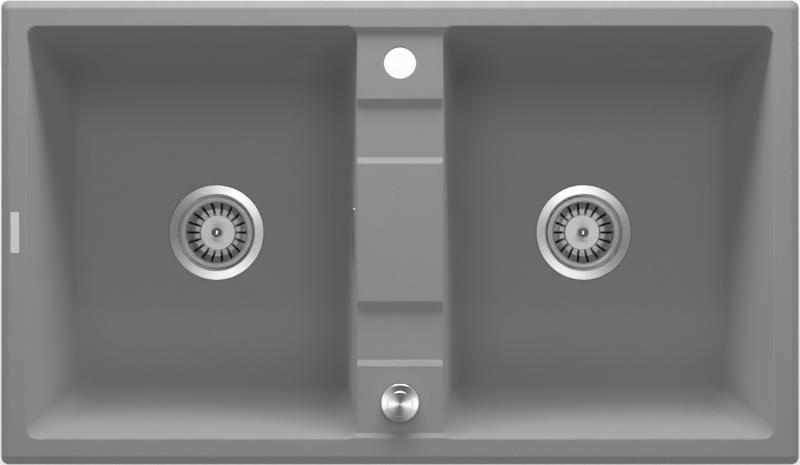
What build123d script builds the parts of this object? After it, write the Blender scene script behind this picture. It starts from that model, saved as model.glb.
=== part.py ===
from build123d import *
from math import asin, cos, degrees, pi, radians, sin, tan
import os

# Double bowl kitchen sink of moulded composite granite, with its wastes, overflow, remote control
# and clips.
# Millimetres. X runs along the sink, +Y to its back where the tap stands, +Z up.
# The origin is the middle of the sink, at the height of the worktop that the rim rests on.

# ---------------------------------------------------------------- driving dimensions: the moulded sink
SINK_LENGTH = 860.0
SINK_WIDTH = 500.0
OUTER_CORNER_RADIUS = 8.0
RIM_HEIGHT = 9.0
RIM_LIP_HEIGHT = 2.5
RIM_BEVEL_WIDTH = 8.5
BEVEL_CORNER_RADIUS = 3.5
BEVEL_EDGE_RADIUS = 4.0
RIM_FLAT_WIDTH = 20.0
RIM_OVERLAP = 10.0
CUTOUT_CLEARANCE = 2.0
DECK_CORNER_RADIUS = 6.0
DIVIDER_WIDTH = 91.8
BOWL_DEPTH = 200.0
WALL_DRAFT = 5.0
WALL_THICKNESS = 8.0
FLOOR_THICKNESS = 10.0
BOWL_TOP_RADIUS = 11.5
BOWL_FOOT_RADIUS = 26.0
FLOOR_FILLET = 20.0
BOWL_EDGE_RADIUS = 1.6

# the divider's levels, measured down from the rim, and where each one starts from the middle
LEDGE_DROP = 5.0
RECESS_DROP = 10.5
LEDGE_STEP_RUN = 5.0
RECESS_STEP_RUN = 6.6
LEDGE_WIDTH = 72.0
PLATEAU_HALF_LENGTH = 74.4
LEDGE_THICKNESS = 12.5
STEPS_SETBACK = 0.5

TAP_HOLE_RADIUS = 17.5
TAP_HOLE_FROM_BOWL_EDGE = 38.2
KNOB_FROM_BOWL_EDGE = 38.5

# seal under the rim
SEAL_WIDTH = 6.0
SEAL_DEPTH = 1.5
SEAL_FROM_EDGE = 4.0
SEAL_SIDE_GAP = 0.2

# small plate let into the rim
BADGE_LENGTH = 44.6
BADGE_WIDTH = 9.5
BADGE_THICKNESS = 1.2
BADGE_GAP = 0.5
BADGE_CORNER_RADIUS = 1.2
BADGE_FROM_EDGE = 16.2
BADGE_BORDER = 1.1
BADGE_LINE_WIDTH = 0.4
BADGE_LINE_DEPTH = 0.2

# general clearances
SEAT_GAP = 0.3
RUNNING_GAP = 0.05

# ---------------------------------------------------------------- driving dimensions: the wastes
STRAINER_FROM_DIVIDER = 174.6
FLANGE_RADIUS = 57.0
FLANGE_THICKNESS = 1.5
FLANGE_PROUD = 0.3
FLANGE_CROWN = 0.8
PRESSED_LIP = 0.4
FLANGE_GASKET_THICKNESS = 2.0
FLANGE_RECESS_GAP = 0.6
STEEL_WALL = 1.5
MOUTH_RADIUS = 46.0
MOUTH_DEPTH = 6.0
NECK_RADIUS = 38.0
NECK_TOP_DEPTH = 12.5
NECK_BOTTOM_DEPTH = 42.0
WASTE_HOLE_GAP = 0.8
PORT_RADIUS = 25.0
HUB_RADIUS = 6.0
HUB_HEIGHT = 6.0
SPIDER_ARMS = 3
SPIDER_ARM_WIDTH = 3.0
SPIDER_HEIGHT = 4.0

BASKET_RIM_RADIUS = 43.0
BASKET_RIM_INNER = 37.0
BASKET_RIM_DROP = 3.6
BASKET_RIM_GROOVE = 0.45
BASKET_SKIRT = 4.3
BASKET_SHEET = 1.2
BASKET_KINK_RADIUS = 28.5
BASKET_KINK_DROP = 13.5
BASKET_RING_RADIUS = 27.0
BASKET_RING_DROP = 17.5
BASKET_DISC_RADIUS = 21.0
BASKET_DISC_RISE = 1.8
BASKET_DISC_EDGE = 0.5
BASKET_DISC_SLOPE = 1.0
SLOT_COUNT = 18
SLOT_WIDTH = 1.9
SLOT_INNER_RADIUS = 23.4
SLOT_OUTER_RADIUS = 35.2
SLOT_END_RADIUS = 1.3
STEM_RADIUS = 4.5
PLUG_RADIUS = 27.0
PLUG_THICKNESS = 2.0
BASKET_SEAL_RADIUS = 30.0
BASKET_SEAL_THICKNESS = 2.5
BASKET_SEAL_SEAT = 4.0
PULL_KNOB_RADIUS = 6.0
PULL_KNOB_NECK = 4.0
PULL_KNOB_HEIGHT = 17.0
PULL_KNOB_EDGE = 0.8
PULL_KNOB_FOOT = 2.5
PULL_KNOB_HEAD = 5.0
PULL_KNOB_FLARE = 2.0

CUP_GASKET_THICKNESS = 3.0
CUP_FLANGE_RADIUS = 58.0
CUP_FLANGE_THICKNESS = 4.0
CUP_WALL = 2.5
CUP_INNER_RADIUS = 41.5
CUP_DEPTH = 96.0
PIPE_RADIUS = 20.0
PIPE_WALL = 2.0
PIPE_Y = -20.0
PIPE_DROP = 72.0

# ---------------------------------------------------------------- driving dimensions: the remote control
BASKET_LIFT = 10.0
LIFT_ROD_RADIUS = 3.0
LIFT_FOOT_RADIUS = 6.0
LIFT_FOOT_THICKNESS = 2.0
CAM_ARM = 24.0
CAM_ARM_WIDTH = 4.0
CAM_HUB_RADIUS = 6.0
CAM_TIP_RADIUS = 3.5
CAM_SHAFT_RADIUS = 4.0
CAM_AXIS_DROP = 68.0
CAM_BOSS_RADIUS = 8.0
CAM_BOSS_END_Y = -52.0
LEVER_ARM = 30.0
LEVER_WIDTH = 12.0
LEVER_THICKNESS = 4.0
LEVER_SLOT_PLAY = 1.2
LEVER_SLOT_GAP = 0.5
LEVER_Y = -59.0
NIPPLE_RADIUS = 3.0
NIPPLE_LENGTH = 10.0
WIRE_RADIUS = 0.8
WIRE_LENGTH = 46.0
CABLE_RADIUS = 3.0
CABLE_BORE_GAP = 0.4
WIRE_BORE_DEPTH = 15.0
FERRULE_RADIUS = 4.5
FERRULE_LENGTH = 16.0
SADDLE_THICKNESS = 5.0
SADDLE_WALL = 5.0
SADDLE_WEB_DROP = 3.0
SADDLE_DISTANCE = 34.0

KNOB_RADIUS = 13.5
KNOB_HEIGHT = 10.5
KNOB_CHAMFER = 0.5
KNOB_TOP_WALL = 2.5
ROSETTE_RADIUS = 20.5
ROSETTE_HEIGHT = 8.0
ROSETTE_CHAMFER = 0.8
ROSETTE_WEB = 2.0
ROSETTE_BORE_GAP = 3.0
KNOB_GASKET_INSET = 1.0
KNOB_GASKET_THICKNESS = 0.8
KNOB_HOLE_RADIUS = 15.0
STUB_RADIUS = 14.0
KNOB_SHAFT_RADIUS = 4.0
KNOB_WASHER_THICKNESS = 2.0
HOUSING_RADIUS = 24.0
HOUSING_HEIGHT = 26.0
HOUSING_WALL = 2.5
HOUSING_TOP = 3.0
LID_THICKNESS = 2.5
DRUM_RADIUS = 8.0
DRUM_FLANGE_RADIUS = 12.0
DRUM_FLANGE_THICKNESS = 2.0
DRUM_HEIGHT = 12.0
DRUM_GROOVE_SLOPE = 1.0

# ---------------------------------------------------------------- driving dimensions: the overflow
OVERFLOW_DROP = 43.0
COVER_LENGTH = 54.0
COVER_HEIGHT = 28.0
COVER_STANDOFF = 1.7
COVER_THICKNESS = 1.0
COVER_CORNER_RADIUS = 2.0
COVER_SLOTS = 3
COVER_SLOT_LENGTH = 28.0
COVER_SLOT_WIDTH = 3.2
COVER_SLOT_PITCH = 6.4
COVER_SCREW_Y = 20.5
COVER_SCREW_RADIUS = 1.5
COVER_SCREW_HEAD = 2.6
COVER_SCREW_GRIP = 7.0
COVER_SCREW_DOME = 1.1
COVER_SCREW_SHOULDER = 0.7
COVER_SCREW_EDGE = 0.4
COVER_SCREW_SLOT = 0.6
OVERFLOW_HOLE_LENGTH = 30.0
OVERFLOW_HOLE_HEIGHT = 18.0
OVERFLOW_HOLE_CORNER = 8.0
OVERFLOW_GASKET_THICKNESS = 2.0
HEAD_LENGTH = 58.0
HEAD_HEIGHT = 28.0
HEAD_DEPTH = 24.0
HEAD_WALL = 2.0
HEAD_THROAT_DEPTH = 12.0
HEAD_ROOM_START = 9.6
HOSE_SPIGOT_RADIUS = 9.0
HOSE_SPIGOT_WALL = 1.8
HOSE_SPIGOT_LENGTH = 24.0
HOSE_Y = 20.0
HOSE_DROP = 56.0
HOSE_X = -27.0
HOSE_CREST_RADIUS = 12.0
HOSE_ROOT_RADIUS = 10.4
HOSE_BEND_RADIUS = 88.0
HOSE_RIB_PITCH = 5.0
HOSE_RUN_BETWEEN_BENDS = 0.8
CLAMP_WIDTH = 7.0
CLAMP_THICKNESS = 0.9
CLAMP_BLOCK_LENGTH = 12.0
CLAMP_BLOCK_HEIGHT = 4.5
CLAMP_BLOCK_LIFT = 2.5
CLAMP_BLOCK_OVERHANG = 0.5
CLAMP_SCREW_RADIUS = 2.8
CLAMP_SCREW_HEAD = 3.0
CLAMP_SCREW_LIFT = 2.9

# ---------------------------------------------------------------- driving dimensions: pipes and clips
SOCKET_WALL = 3.0
SOCKET_LENGTH = 22.0
SOCKET_OVERLAP = 16.0
CUP_SOCKET_FROM_AXIS = 58.0
NUT_WALL = 4.5
NUT_LENGTH = 18.0
NUT_RIBS = 12
NUT_RIB_RADIUS = 1.6
WASHER_LENGTH = 4.0
TEE_HALF_LENGTH = 34.0
OUTLET_LENGTH = 62.0
OUTLET_COLLAR = 1.0
OUTLET_COLLAR_DROP = 5.0
OUTLET_TAPER = 0.5

CLIP_FROM_SIDE = 160.0
CLIP_FROM_BACK = 140.0
CLIP_FROM_EDGE = 19.5
CLIP_BOSS_RADIUS = 7.0
CLIP_BOSS_DEPTH = 14.0
CLIP_INSERT_RADIUS = 4.0
CLIP_INSERT_LENGTH = 10.0
CLIP_SCREW_RADIUS = 2.5
CLIP_SCREW_HEAD = 5.0
CLIP_SCREW_HEAD_HEIGHT = 3.5
CLIP_SCREW_SHORT = 1.0
CLIP_HUB_RADIUS = 4.5
CLIP_ARM_WIDTH = 7.0
CLIP_ARM_LENGTH = 26.0
CLIP_ARM_THICKNESS = 2.5
CLIP_TOOTH_HEIGHT = 6.0
WORKTOP_THICKNESS = 38.0

# ---------------------------------------------------------------- heights and places that follow
RIM_TOP = RIM_HEIGHT
DECK_UNDERSIDE = RIM_HEIGHT - LEDGE_DROP - LEDGE_THICKNESS
LEDGE_TOP = RIM_HEIGHT - LEDGE_DROP
RECESS_TOP = RIM_HEIGHT - RECESS_DROP
FLOOR_TOP = RIM_HEIGHT - BOWL_DEPTH
FLOOR_UNDERSIDE = FLOOR_TOP - FLOOR_THICKNESS
DRAFT_RUN = tan(radians(WALL_DRAFT))
WALL_RUN = WALL_THICKNESS / cos(radians(WALL_DRAFT))

RIM_WIDTH = RIM_BEVEL_WIDTH + RIM_FLAT_WIDTH
BOWL_WIDTH = SINK_WIDTH - 2 * RIM_WIDTH
BOWL_LENGTH = (SINK_LENGTH - 2 * RIM_WIDTH - DIVIDER_WIDTH) / 2
BOWL_X = (DIVIDER_WIDTH + BOWL_LENGTH) / 2
BOWL_EDGE_Y = BOWL_WIDTH / 2
STEPS_END_Y = BOWL_EDGE_Y - STEPS_SETBACK
LEDGE_OUTER_Y = STEPS_END_Y - LEDGE_STEP_RUN
RECESS_OUTER_Y = LEDGE_OUTER_Y - LEDGE_WIDTH
RECESS_FLOOR_OUTER_Y = RECESS_OUTER_Y - RECESS_STEP_RUN
RECESS_FLOOR_INNER_Y = PLATEAU_HALF_LENGTH + RECESS_STEP_RUN

TAP_HOLE_Y = BOWL_EDGE_Y - TAP_HOLE_FROM_BOWL_EDGE
KNOB_Y = -(BOWL_EDGE_Y - KNOB_FROM_BOWL_EDGE)
BADGE_X = -(SINK_LENGTH / 2 - BADGE_FROM_EDGE)
STRAINER_X = DIVIDER_WIDTH / 2 + STRAINER_FROM_DIVIDER

MOUTH_OUTER = MOUTH_RADIUS + STEEL_WALL
NECK_OUTER = NECK_RADIUS + STEEL_WALL
WASTE_HOLE_RADIUS = MOUTH_OUTER + WASTE_HOLE_GAP
FLANGE_TOP = FLOOR_TOP + FLANGE_PROUD
FLANGE_SEAT = FLANGE_TOP - FLANGE_THICKNESS
RECESS_FLOOR = FLANGE_SEAT - FLANGE_GASKET_THICKNESS
FLANGE_RECESS_RADIUS = FLANGE_RADIUS + FLANGE_RECESS_GAP
PORT_TOP = FLOOR_TOP - NECK_BOTTOM_DEPTH + STEEL_WALL
NECK_BOTTOM = FLOOR_TOP - NECK_BOTTOM_DEPTH
CUP_TOP = FLOOR_UNDERSIDE - CUP_GASKET_THICKNESS
CUP_BOTTOM = FLOOR_TOP - CUP_DEPTH
CUP_OUTER = CUP_INNER_RADIUS + CUP_WALL
PIPE_Z = FLOOR_TOP - PIPE_DROP

SEAL_UNDERSIDE = PORT_TOP + SEAT_GAP
PLUG_UNDERSIDE = SEAL_UNDERSIDE + BASKET_SEAL_THICKNESS
DISC_TOP = FLOOR_TOP - BASKET_RING_DROP + BASKET_DISC_RISE
STEM_END = PORT_TOP + 2 * SEAT_GAP
LIFT_ROD_TOP = STEM_END - SEAT_GAP
HUB_TOP = LIFT_ROD_TOP - 2 * SEAT_GAP

CAM_HALF_TURN = degrees(asin(BASKET_LIFT / 2 / CAM_ARM))
CAM_TURN = 2 * CAM_HALF_TURN
CAM_X = -STRAINER_X - CAM_ARM
CAM_Z = FLOOR_TOP - CAM_AXIS_DROP
LIFT_FOOT_UNDERSIDE = CAM_Z - BASKET_LIFT / 2 + CAM_TIP_RADIUS + SEAT_GAP
WIRE_PULL = 2 * LEVER_ARM * sin(radians(CAM_HALF_TURN))
LEVER_TIP_X = CAM_X - WIRE_PULL / 2
LEVER_TIP_Z = CAM_Z - LEVER_ARM
WIRE_Y = LEVER_Y - LEVER_THICKNESS
SADDLE_X = CAM_X + SADDLE_DISTANCE

WASHER_TOP = DECK_UNDERSIDE
HOUSING_SHOULDER = WASHER_TOP - KNOB_WASHER_THICKNESS
HOUSING_BOTTOM = HOUSING_SHOULDER - HOUSING_HEIGHT
ROSETTE_BOTTOM = LEDGE_TOP + KNOB_GASKET_THICKNESS
ROSETTE_TOP = ROSETTE_BOTTOM + ROSETTE_HEIGHT
KNOB_BOTTOM = ROSETTE_TOP + SEAT_GAP
KNOB_TOP = KNOB_BOTTOM + KNOB_HEIGHT
DRUM_TOP = HOUSING_SHOULDER - HOUSING_TOP - SEAT_GAP
DRUM_MIDDLE = DRUM_TOP - DRUM_HEIGHT / 2

COVER_MIDDLE_DROP = OVERFLOW_DROP + COVER_HEIGHT / 2
COVER_X = -(DIVIDER_WIDTH / 2 + COVER_MIDDLE_DROP * DRAFT_RUN)
HOSE_Z = FLOOR_TOP - HOSE_DROP
HOSE_SPIGOT_BORE = HOSE_SPIGOT_RADIUS - HOSE_SPIGOT_WALL

SOCKET_RADIUS = PIPE_RADIUS + SOCKET_WALL
NUT_RADIUS = SOCKET_RADIUS + NUT_WALL
CUP_SOCKET_END = CUP_SOCKET_FROM_AXIS + SOCKET_LENGTH

CLIP_LONG_SIDE_X = SINK_LENGTH / 2 - CLIP_FROM_SIDE
CLIP_SHORT_SIDE_Y = SINK_WIDTH / 2 - CLIP_FROM_BACK
CLIP_X = SINK_LENGTH / 2 - CLIP_FROM_EDGE
CLIP_Y = SINK_WIDTH / 2 - CLIP_FROM_EDGE
CLIP_ARM_TOP = -WORKTOP_THICKNESS - CLIP_TOOTH_HEIGHT
CLIP_SCREW_HEAD_TOP = CLIP_ARM_TOP - CLIP_ARM_THICKNESS - SEAT_GAP
CLIP_SCREW_END = DECK_UNDERSIDE - CLIP_BOSS_DEPTH + CLIP_INSERT_LENGTH - CLIP_SCREW_SHORT

SIDES = {"left": -1, "right": 1}
CLIPS = {
    "clip_back_left": (-CLIP_LONG_SIDE_X, CLIP_Y, 0),
    "clip_back_right": (CLIP_LONG_SIDE_X, CLIP_Y, 0),
    "clip_front_left": (-CLIP_LONG_SIDE_X, -CLIP_Y, 180),
    "clip_front_right": (CLIP_LONG_SIDE_X, -CLIP_Y, 180),
    "clip_left_back": (-CLIP_X, CLIP_SHORT_SIDE_Y, 90),
    "clip_left_front": (-CLIP_X, -CLIP_SHORT_SIDE_Y, 90),
    "clip_right_back": (CLIP_X, CLIP_SHORT_SIDE_Y, -90),
    "clip_right_front": (CLIP_X, -CLIP_SHORT_SIDE_Y, -90),
}


# Share of a rib's pitch and its radius there, for the four circles of each rib of the hose.
RIB_CIRCLES = (
    (0.1, HOSE_ROOT_RADIUS),
    (0.35, HOSE_CREST_RADIUS),
    (0.65, HOSE_CREST_RADIUS),
    (0.9, HOSE_ROOT_RADIUS),
)

# Corners of the cable's line, as steps from its end at the knob and from its end at the left waste.
CABLE_BENDS_FROM_KNOB = ((0, 52, 0), (-4, 74, -60), (-16, 84, -130), (-44, 88, -198))
CABLE_BENDS_FROM_WASTE = ((92, -1, 12), (45, 0, 0))


# ---------------------------------------------------------------- small helpers
def lathe(outline, x=0.0, y=0.0):
    """A turned solid on an upright axis through (x, y), from its half section as (radius, height) points."""
    section = make_face(Polyline(*[(radius, 0, height) for radius, height in outline], close=True))
    return Pos(x, y, 0) * revolve(section, Axis.Z)


def ring(outer, inner, bottom, top, x=0.0, y=0.0):
    """A flat ring or tube standing on an upright axis."""
    return lathe([(inner, bottom), (outer, bottom), (outer, top), (inner, top)], x, y)


def disc(radius, bottom, top, x=0.0, y=0.0):
    """A round bar standing on an upright axis."""
    return Pos(x, y, bottom) * extrude(Circle(radius), amount=top - bottom)


def bar(start, end, radius):
    """A round bar from one point to another."""
    run = Vector(*end) - Vector(*start)
    return extrude(Plane(origin=start, z_dir=run) * Circle(radius), amount=run.length)


def slab(length, width, radius, bottom, top):
    """A flat block with rounded corners, centred on the origin."""
    return Pos(0, 0, bottom) * extrude(RectangleRounded(length, width, radius), amount=top - bottom)


def frustum(low, high):
    """A block whose rounded outline changes evenly from (length, width, radius, height) to another."""
    outlines = [Pos(0, 0, height) * RectangleRounded(length, width, radius)
                for length, width, radius, height in (low, high)]
    return loft(outlines, ruled=True)


def save(name, solid):
    """Write one sub-part and say what it holds."""
    solid.label = name
    export_step(solid, f"parts/{name}.step")
    print(f"{name:24s} solids {len(solid.solids())}  volume {solid.volume:12.1f}")


# ---------------------------------------------------------------- the moulded sink
def bowl_form(growth, extra_depth, top):
    """The hollow of a bowl, or its outside when grown by the wall, with drafted walls and a rounded foot."""
    bottom = FLOOR_TOP - extra_depth
    foot_run = 2 * (RIM_TOP - bottom) * DRAFT_RUN
    top_run = 2 * (RIM_TOP - top) * DRAFT_RUN
    length, width = BOWL_LENGTH + 2 * growth, BOWL_WIDTH + 2 * growth
    form = frustum(
        (length - foot_run, width - foot_run, BOWL_FOOT_RADIUS + growth, bottom),
        (length - top_run, width - top_run, BOWL_TOP_RADIUS + growth, top),
    )
    foot = form.faces().sort_by(Axis.Z)[0].edges()
    return fillet(foot, FLOOR_FILLET + extra_depth / 2)


def divider_profile(outward):
    """Half of the divider's stepped top, from its middle to the rim, as (y, height) points."""
    steps = [
        (0, LEDGE_TOP),
        (PLATEAU_HALF_LENGTH, LEDGE_TOP),
        (RECESS_FLOOR_INNER_Y, RECESS_TOP),
        (RECESS_FLOOR_OUTER_Y, RECESS_TOP),
        (RECESS_OUTER_Y, LEDGE_TOP),
        (LEDGE_OUTER_Y, LEDGE_TOP),
        (STEPS_END_Y, RIM_TOP),
    ]
    return [(outward * y, height) for y, height in steps]


def divider_cut():
    """What is taken off between the bowls to leave the stepped ledges, recesses and plateau."""
    steps = divider_profile(-1)[:0:-1] + divider_profile(1)[1:]
    headroom = RIM_TOP + LEDGE_DROP
    outline = [(0, y, height) for y, height in steps]
    outline += [(0, STEPS_END_Y, headroom), (0, -STEPS_END_Y, headroom)]
    half_length = DIVIDER_WIDTH / 2 + 2 * BOWL_TOP_RADIUS
    return extrude(make_face(Polyline(*outline, close=True)), amount=half_length, both=True)


def overflow_plane(depth=0.0):
    """Plane on the bowl's divider wall at the overflow: its Z points into the bowl, its Y up the wall."""
    lean = radians(WALL_DRAFT)
    centre = Vector(COVER_X, 0, RIM_TOP - COVER_MIDDLE_DROP)
    into_bowl = Vector(-cos(lean), 0, sin(lean))
    return Plane(origin=centre - into_bowl * depth, x_dir=(0, -1, 0), z_dir=into_bowl)


def overflow_holes():
    """The way through the bowl's wall behind the overflow cover, with its two screw holes."""
    reach = WALL_THICKNESS + 2 * SEAT_GAP
    behind = overflow_plane(reach)
    opening = RectangleRounded(OVERFLOW_HOLE_LENGTH, OVERFLOW_HOLE_HEIGHT, OVERFLOW_HOLE_CORNER)
    holes = opening + Pos(COVER_SCREW_Y) * Circle(COVER_SCREW_RADIUS + SEAT_GAP)
    holes += Pos(-COVER_SCREW_Y) * Circle(COVER_SCREW_RADIUS + SEAT_GAP)
    return extrude(behind * holes, amount=reach + 2 * SEAT_GAP)


def seal_channel(side_gap):
    """The ring-shaped channel under the rim, or the strip in it when narrowed by a side gap."""
    outer = 2 * (SEAL_FROM_EDGE + side_gap)
    inner = 2 * (SEAL_FROM_EDGE + SEAL_WIDTH - side_gap)
    outside = slab(SINK_LENGTH - outer, SINK_WIDTH - outer, OUTER_CORNER_RADIUS / 2, 0, SEAL_DEPTH)
    return outside - slab(SINK_LENGTH - inner, SINK_WIDTH - inner, OUTER_CORNER_RADIUS / 4, 0, SEAL_DEPTH)


def badge_block(side_gap, thickness):
    """The let-in plate, or the recess that takes it when widened by a gap."""
    plate = slab(BADGE_WIDTH + 2 * side_gap, BADGE_LENGTH + 2 * side_gap,
                 BADGE_CORNER_RADIUS + side_gap, RIM_TOP - thickness, RIM_TOP)
    return Pos(BADGE_X, 0, 0) * plate


def make_sink_body():
    length, width = SINK_LENGTH - 2 * RIM_BEVEL_WIDTH, SINK_WIDTH - 2 * RIM_BEVEL_WIDTH
    body = frustum((SINK_LENGTH, SINK_WIDTH, OUTER_CORNER_RADIUS, RIM_LIP_HEIGHT),
                   (length, width, BEVEL_CORNER_RADIUS, RIM_TOP))
    body = fillet(body.faces().sort_by(Axis.Z)[-1].edges(), BEVEL_EDGE_RADIUS)
    body += slab(SINK_LENGTH, SINK_WIDTH, OUTER_CORNER_RADIUS, 0, RIM_LIP_HEIGHT)
    inset = 2 * (RIM_OVERLAP + CUTOUT_CLEARANCE)
    body += slab(SINK_LENGTH - inset, SINK_WIDTH - inset, DECK_CORNER_RADIUS, DECK_UNDERSIDE, 0)
    for side in SIDES.values():
        body += Pos(side * BOWL_X) * bowl_form(WALL_RUN, FLOOR_THICKNESS, DECK_UNDERSIDE)
    for x, y, turn in CLIPS.values():
        body += disc(CLIP_BOSS_RADIUS, DECK_UNDERSIDE - CLIP_BOSS_DEPTH, DECK_UNDERSIDE, x, y)
    for side in SIDES.values():
        body -= Pos(side * BOWL_X) * bowl_form(0, 0, RIM_TOP)
    body -= divider_cut()
    body = round_bowl_edges(body)
    for side in SIDES.values():
        body -= disc(WASTE_HOLE_RADIUS, FLOOR_UNDERSIDE, FLOOR_TOP, side * STRAINER_X)
        body -= disc(FLANGE_RECESS_RADIUS, RECESS_FLOOR, FLOOR_TOP, side * STRAINER_X)
    body -= disc(TAP_HOLE_RADIUS, DECK_UNDERSIDE, LEDGE_TOP, 0, TAP_HOLE_Y)
    body -= disc(KNOB_HOLE_RADIUS, DECK_UNDERSIDE, LEDGE_TOP, 0, KNOB_Y)
    body -= overflow_holes()
    body -= seal_channel(0)
    body -= badge_block(BADGE_GAP, BADGE_THICKNESS)
    for x, y, turn in CLIPS.values():
        floor = DECK_UNDERSIDE - CLIP_BOSS_DEPTH
        body -= disc(CLIP_INSERT_RADIUS, floor, floor + CLIP_INSERT_LENGTH, x, y)
    return body


def crest_edges(body):
    """The crests that run across the divider, where it steps down into each recess."""
    crests = []
    for edge in body.edges().filter_by(Axis.X):
        middle = edge.center()
        at_crest = min(abs(abs(middle.Y) - y) for y in (PLATEAU_HALF_LENGTH, RECESS_OUTER_Y)) < 0.1
        if abs(middle.X) < 1 and at_crest and middle.Z > RECESS_TOP + LEDGE_DROP / 2:
            crests.append(edge)
    return crests


def round_bowl_edges(body):
    """Round the edges where the bowls' walls come up to the rim and divider, and the divider's crests."""
    edges = crest_edges(body)
    for edge in body.edges():
        middle = edge.position_at(0.5)
        if middle.Z < RECESS_TOP - 0.5 or middle.Z > RIM_TOP + 0.01:
            continue
        reach = (RIM_TOP - middle.Z) * DRAFT_RUN
        along = BOWL_LENGTH / 2 - reach - abs(abs(middle.X) - BOWL_X)
        across = BOWL_EDGE_Y - reach - abs(middle.Y)
        inside = -0.05 < along and -0.05 < across
        near_wall = min(along, across) < 0.05 or (along < BOWL_TOP_RADIUS and across < BOWL_TOP_RADIUS)
        upright = abs(edge.tangent_at(0.5).Z) > 0.95
        if inside and near_wall and not upright:
            edges.append(edge)
    print("edges to round:", len(edges))
    return fillet(edges, BOWL_EDGE_RADIUS)


# ---------------------------------------------------------------- the wastes
def make_strainer_flange(x):
    """Pressed steel waste body: wide ring in the floor, mouth, narrowing neck, port and the rod's guide."""
    lip, crown = PRESSED_LIP, FLANGE_TOP + FLANGE_CROWN
    shell = lathe([
        (MOUTH_RADIUS + lip, crown),
        (FLANGE_RADIUS - lip, FLANGE_TOP),
        (FLANGE_RADIUS, FLANGE_TOP - lip),
        (FLANGE_RADIUS, FLANGE_SEAT),
        (MOUTH_OUTER, FLANGE_SEAT),
        (MOUTH_OUTER, FLOOR_TOP - MOUTH_DEPTH),
        (NECK_OUTER, FLOOR_TOP - NECK_TOP_DEPTH),
        (NECK_OUTER, NECK_BOTTOM),
        (PORT_RADIUS, NECK_BOTTOM),
        (PORT_RADIUS, PORT_TOP),
        (NECK_RADIUS, PORT_TOP),
        (NECK_RADIUS, FLOOR_TOP - NECK_TOP_DEPTH),
        (MOUTH_RADIUS, FLOOR_TOP - MOUTH_DEPTH),
        (MOUTH_RADIUS, crown - lip),
    ], x)
    hub = disc(HUB_RADIUS, HUB_TOP - HUB_HEIGHT, HUB_TOP, x)
    arms = Part()
    for index in range(SPIDER_ARMS):
        arm = Pos(PORT_RADIUS / 2 + STEEL_WALL, 0, NECK_BOTTOM - SPIDER_HEIGHT / 2) * Box(
            PORT_RADIUS, SPIDER_ARM_WIDTH, SPIDER_HEIGHT)
        arms += Pos(x, 0, 0) * Rot(0, 0, index * 360 / SPIDER_ARMS) * arm
    bore = disc(LIFT_ROD_RADIUS + RUNNING_GAP, HUB_TOP - HUB_HEIGHT - 1, HUB_TOP + 1, x)
    return shell + hub + arms - bore


def make_flange_gasket(x):
    return ring(FLANGE_RADIUS, WASTE_HOLE_RADIUS, RECESS_FLOOR, FLANGE_SEAT, x)


def make_cup_gasket(x):
    return ring(CUP_FLANGE_RADIUS, WASTE_HOLE_RADIUS, CUP_TOP, FLOOR_UNDERSIDE, x)


def make_basket(x):
    """Slotted strainer basket of sheet steel, with the stem and plate that carry its seal."""
    rim_top = FLOOR_TOP - BASKET_RIM_DROP
    kink = FLOOR_TOP - BASKET_KINK_DROP
    ring_top = FLOOR_TOP - BASKET_RING_DROP
    groove = BASKET_RIM_GROOVE
    middle = (BASKET_RIM_RADIUS + BASKET_RIM_INNER) / 2
    sheet, skirt = BASKET_SHEET, BASKET_SKIRT
    bowl = lathe([
        (0, DISC_TOP),
        (BASKET_DISC_RADIUS - BASKET_DISC_EDGE, DISC_TOP),
        (BASKET_DISC_RADIUS, DISC_TOP - BASKET_DISC_EDGE),
        (BASKET_DISC_RADIUS + BASKET_DISC_SLOPE, ring_top),
        (BASKET_RING_RADIUS, ring_top),
        (BASKET_KINK_RADIUS, kink),
        (BASKET_RIM_INNER - sheet / 2, rim_top - sheet),
        (BASKET_RIM_INNER + sheet / 2, rim_top),
        (middle - groove, rim_top),
        (middle, rim_top - groove),
        (middle + groove, rim_top),
        (BASKET_RIM_RADIUS - groove, rim_top),
        (BASKET_RIM_RADIUS, rim_top - groove),
        (BASKET_RIM_RADIUS, rim_top - skirt),
        (BASKET_RIM_RADIUS - sheet, rim_top - skirt),
        (BASKET_RIM_RADIUS - sheet, rim_top - 2 * sheet + groove),
        (BASKET_RIM_INNER + sheet / 2, rim_top - 2 * sheet + groove),
        (BASKET_KINK_RADIUS + sheet, kink - sheet / 2),
        (BASKET_RING_RADIUS + sheet, ring_top - sheet),
        (BASKET_DISC_RADIUS, ring_top - sheet),
        (BASKET_DISC_RADIUS - BASKET_DISC_SLOPE, DISC_TOP - sheet),
        (0, DISC_TOP - sheet),
    ], x)
    slot_length = SLOT_OUTER_RADIUS - SLOT_INNER_RADIUS
    depth = BASKET_RING_DROP + 2 * sheet
    for index in range(SLOT_COUNT):
        slot = Pos((SLOT_OUTER_RADIUS + SLOT_INNER_RADIUS) / 2, 0) * Rectangle(slot_length, SLOT_WIDTH)
        slot += Pos(SLOT_INNER_RADIUS, 0) * Circle(SLOT_END_RADIUS)
        turn = Rot(0, 0, index * 360 / SLOT_COUNT)
        bowl -= Pos(x, 0, FLOOR_TOP - depth) * turn * extrude(slot, amount=depth)
    bowl += disc(STEM_RADIUS, STEM_END, DISC_TOP - sheet, x)
    bowl += disc(PLUG_RADIUS, PLUG_UNDERSIDE, PLUG_UNDERSIDE + PLUG_THICKNESS, x)
    return bowl


def make_basket_seal(x):
    """Rubber ring under the basket's plate that closes the port when the basket is down."""
    top, bottom = PLUG_UNDERSIDE, SEAL_UNDERSIDE
    bevel = BASKET_SEAL_THICKNESS / 3
    return lathe([
        (PORT_RADIUS - BASKET_SEAL_SEAT, top),
        (BASKET_SEAL_RADIUS, top),
        (BASKET_SEAL_RADIUS, bottom + bevel),
        (BASKET_SEAL_RADIUS - bevel, bottom),
        (PORT_RADIUS - BASKET_SEAL_SEAT, bottom),
    ], x)


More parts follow.
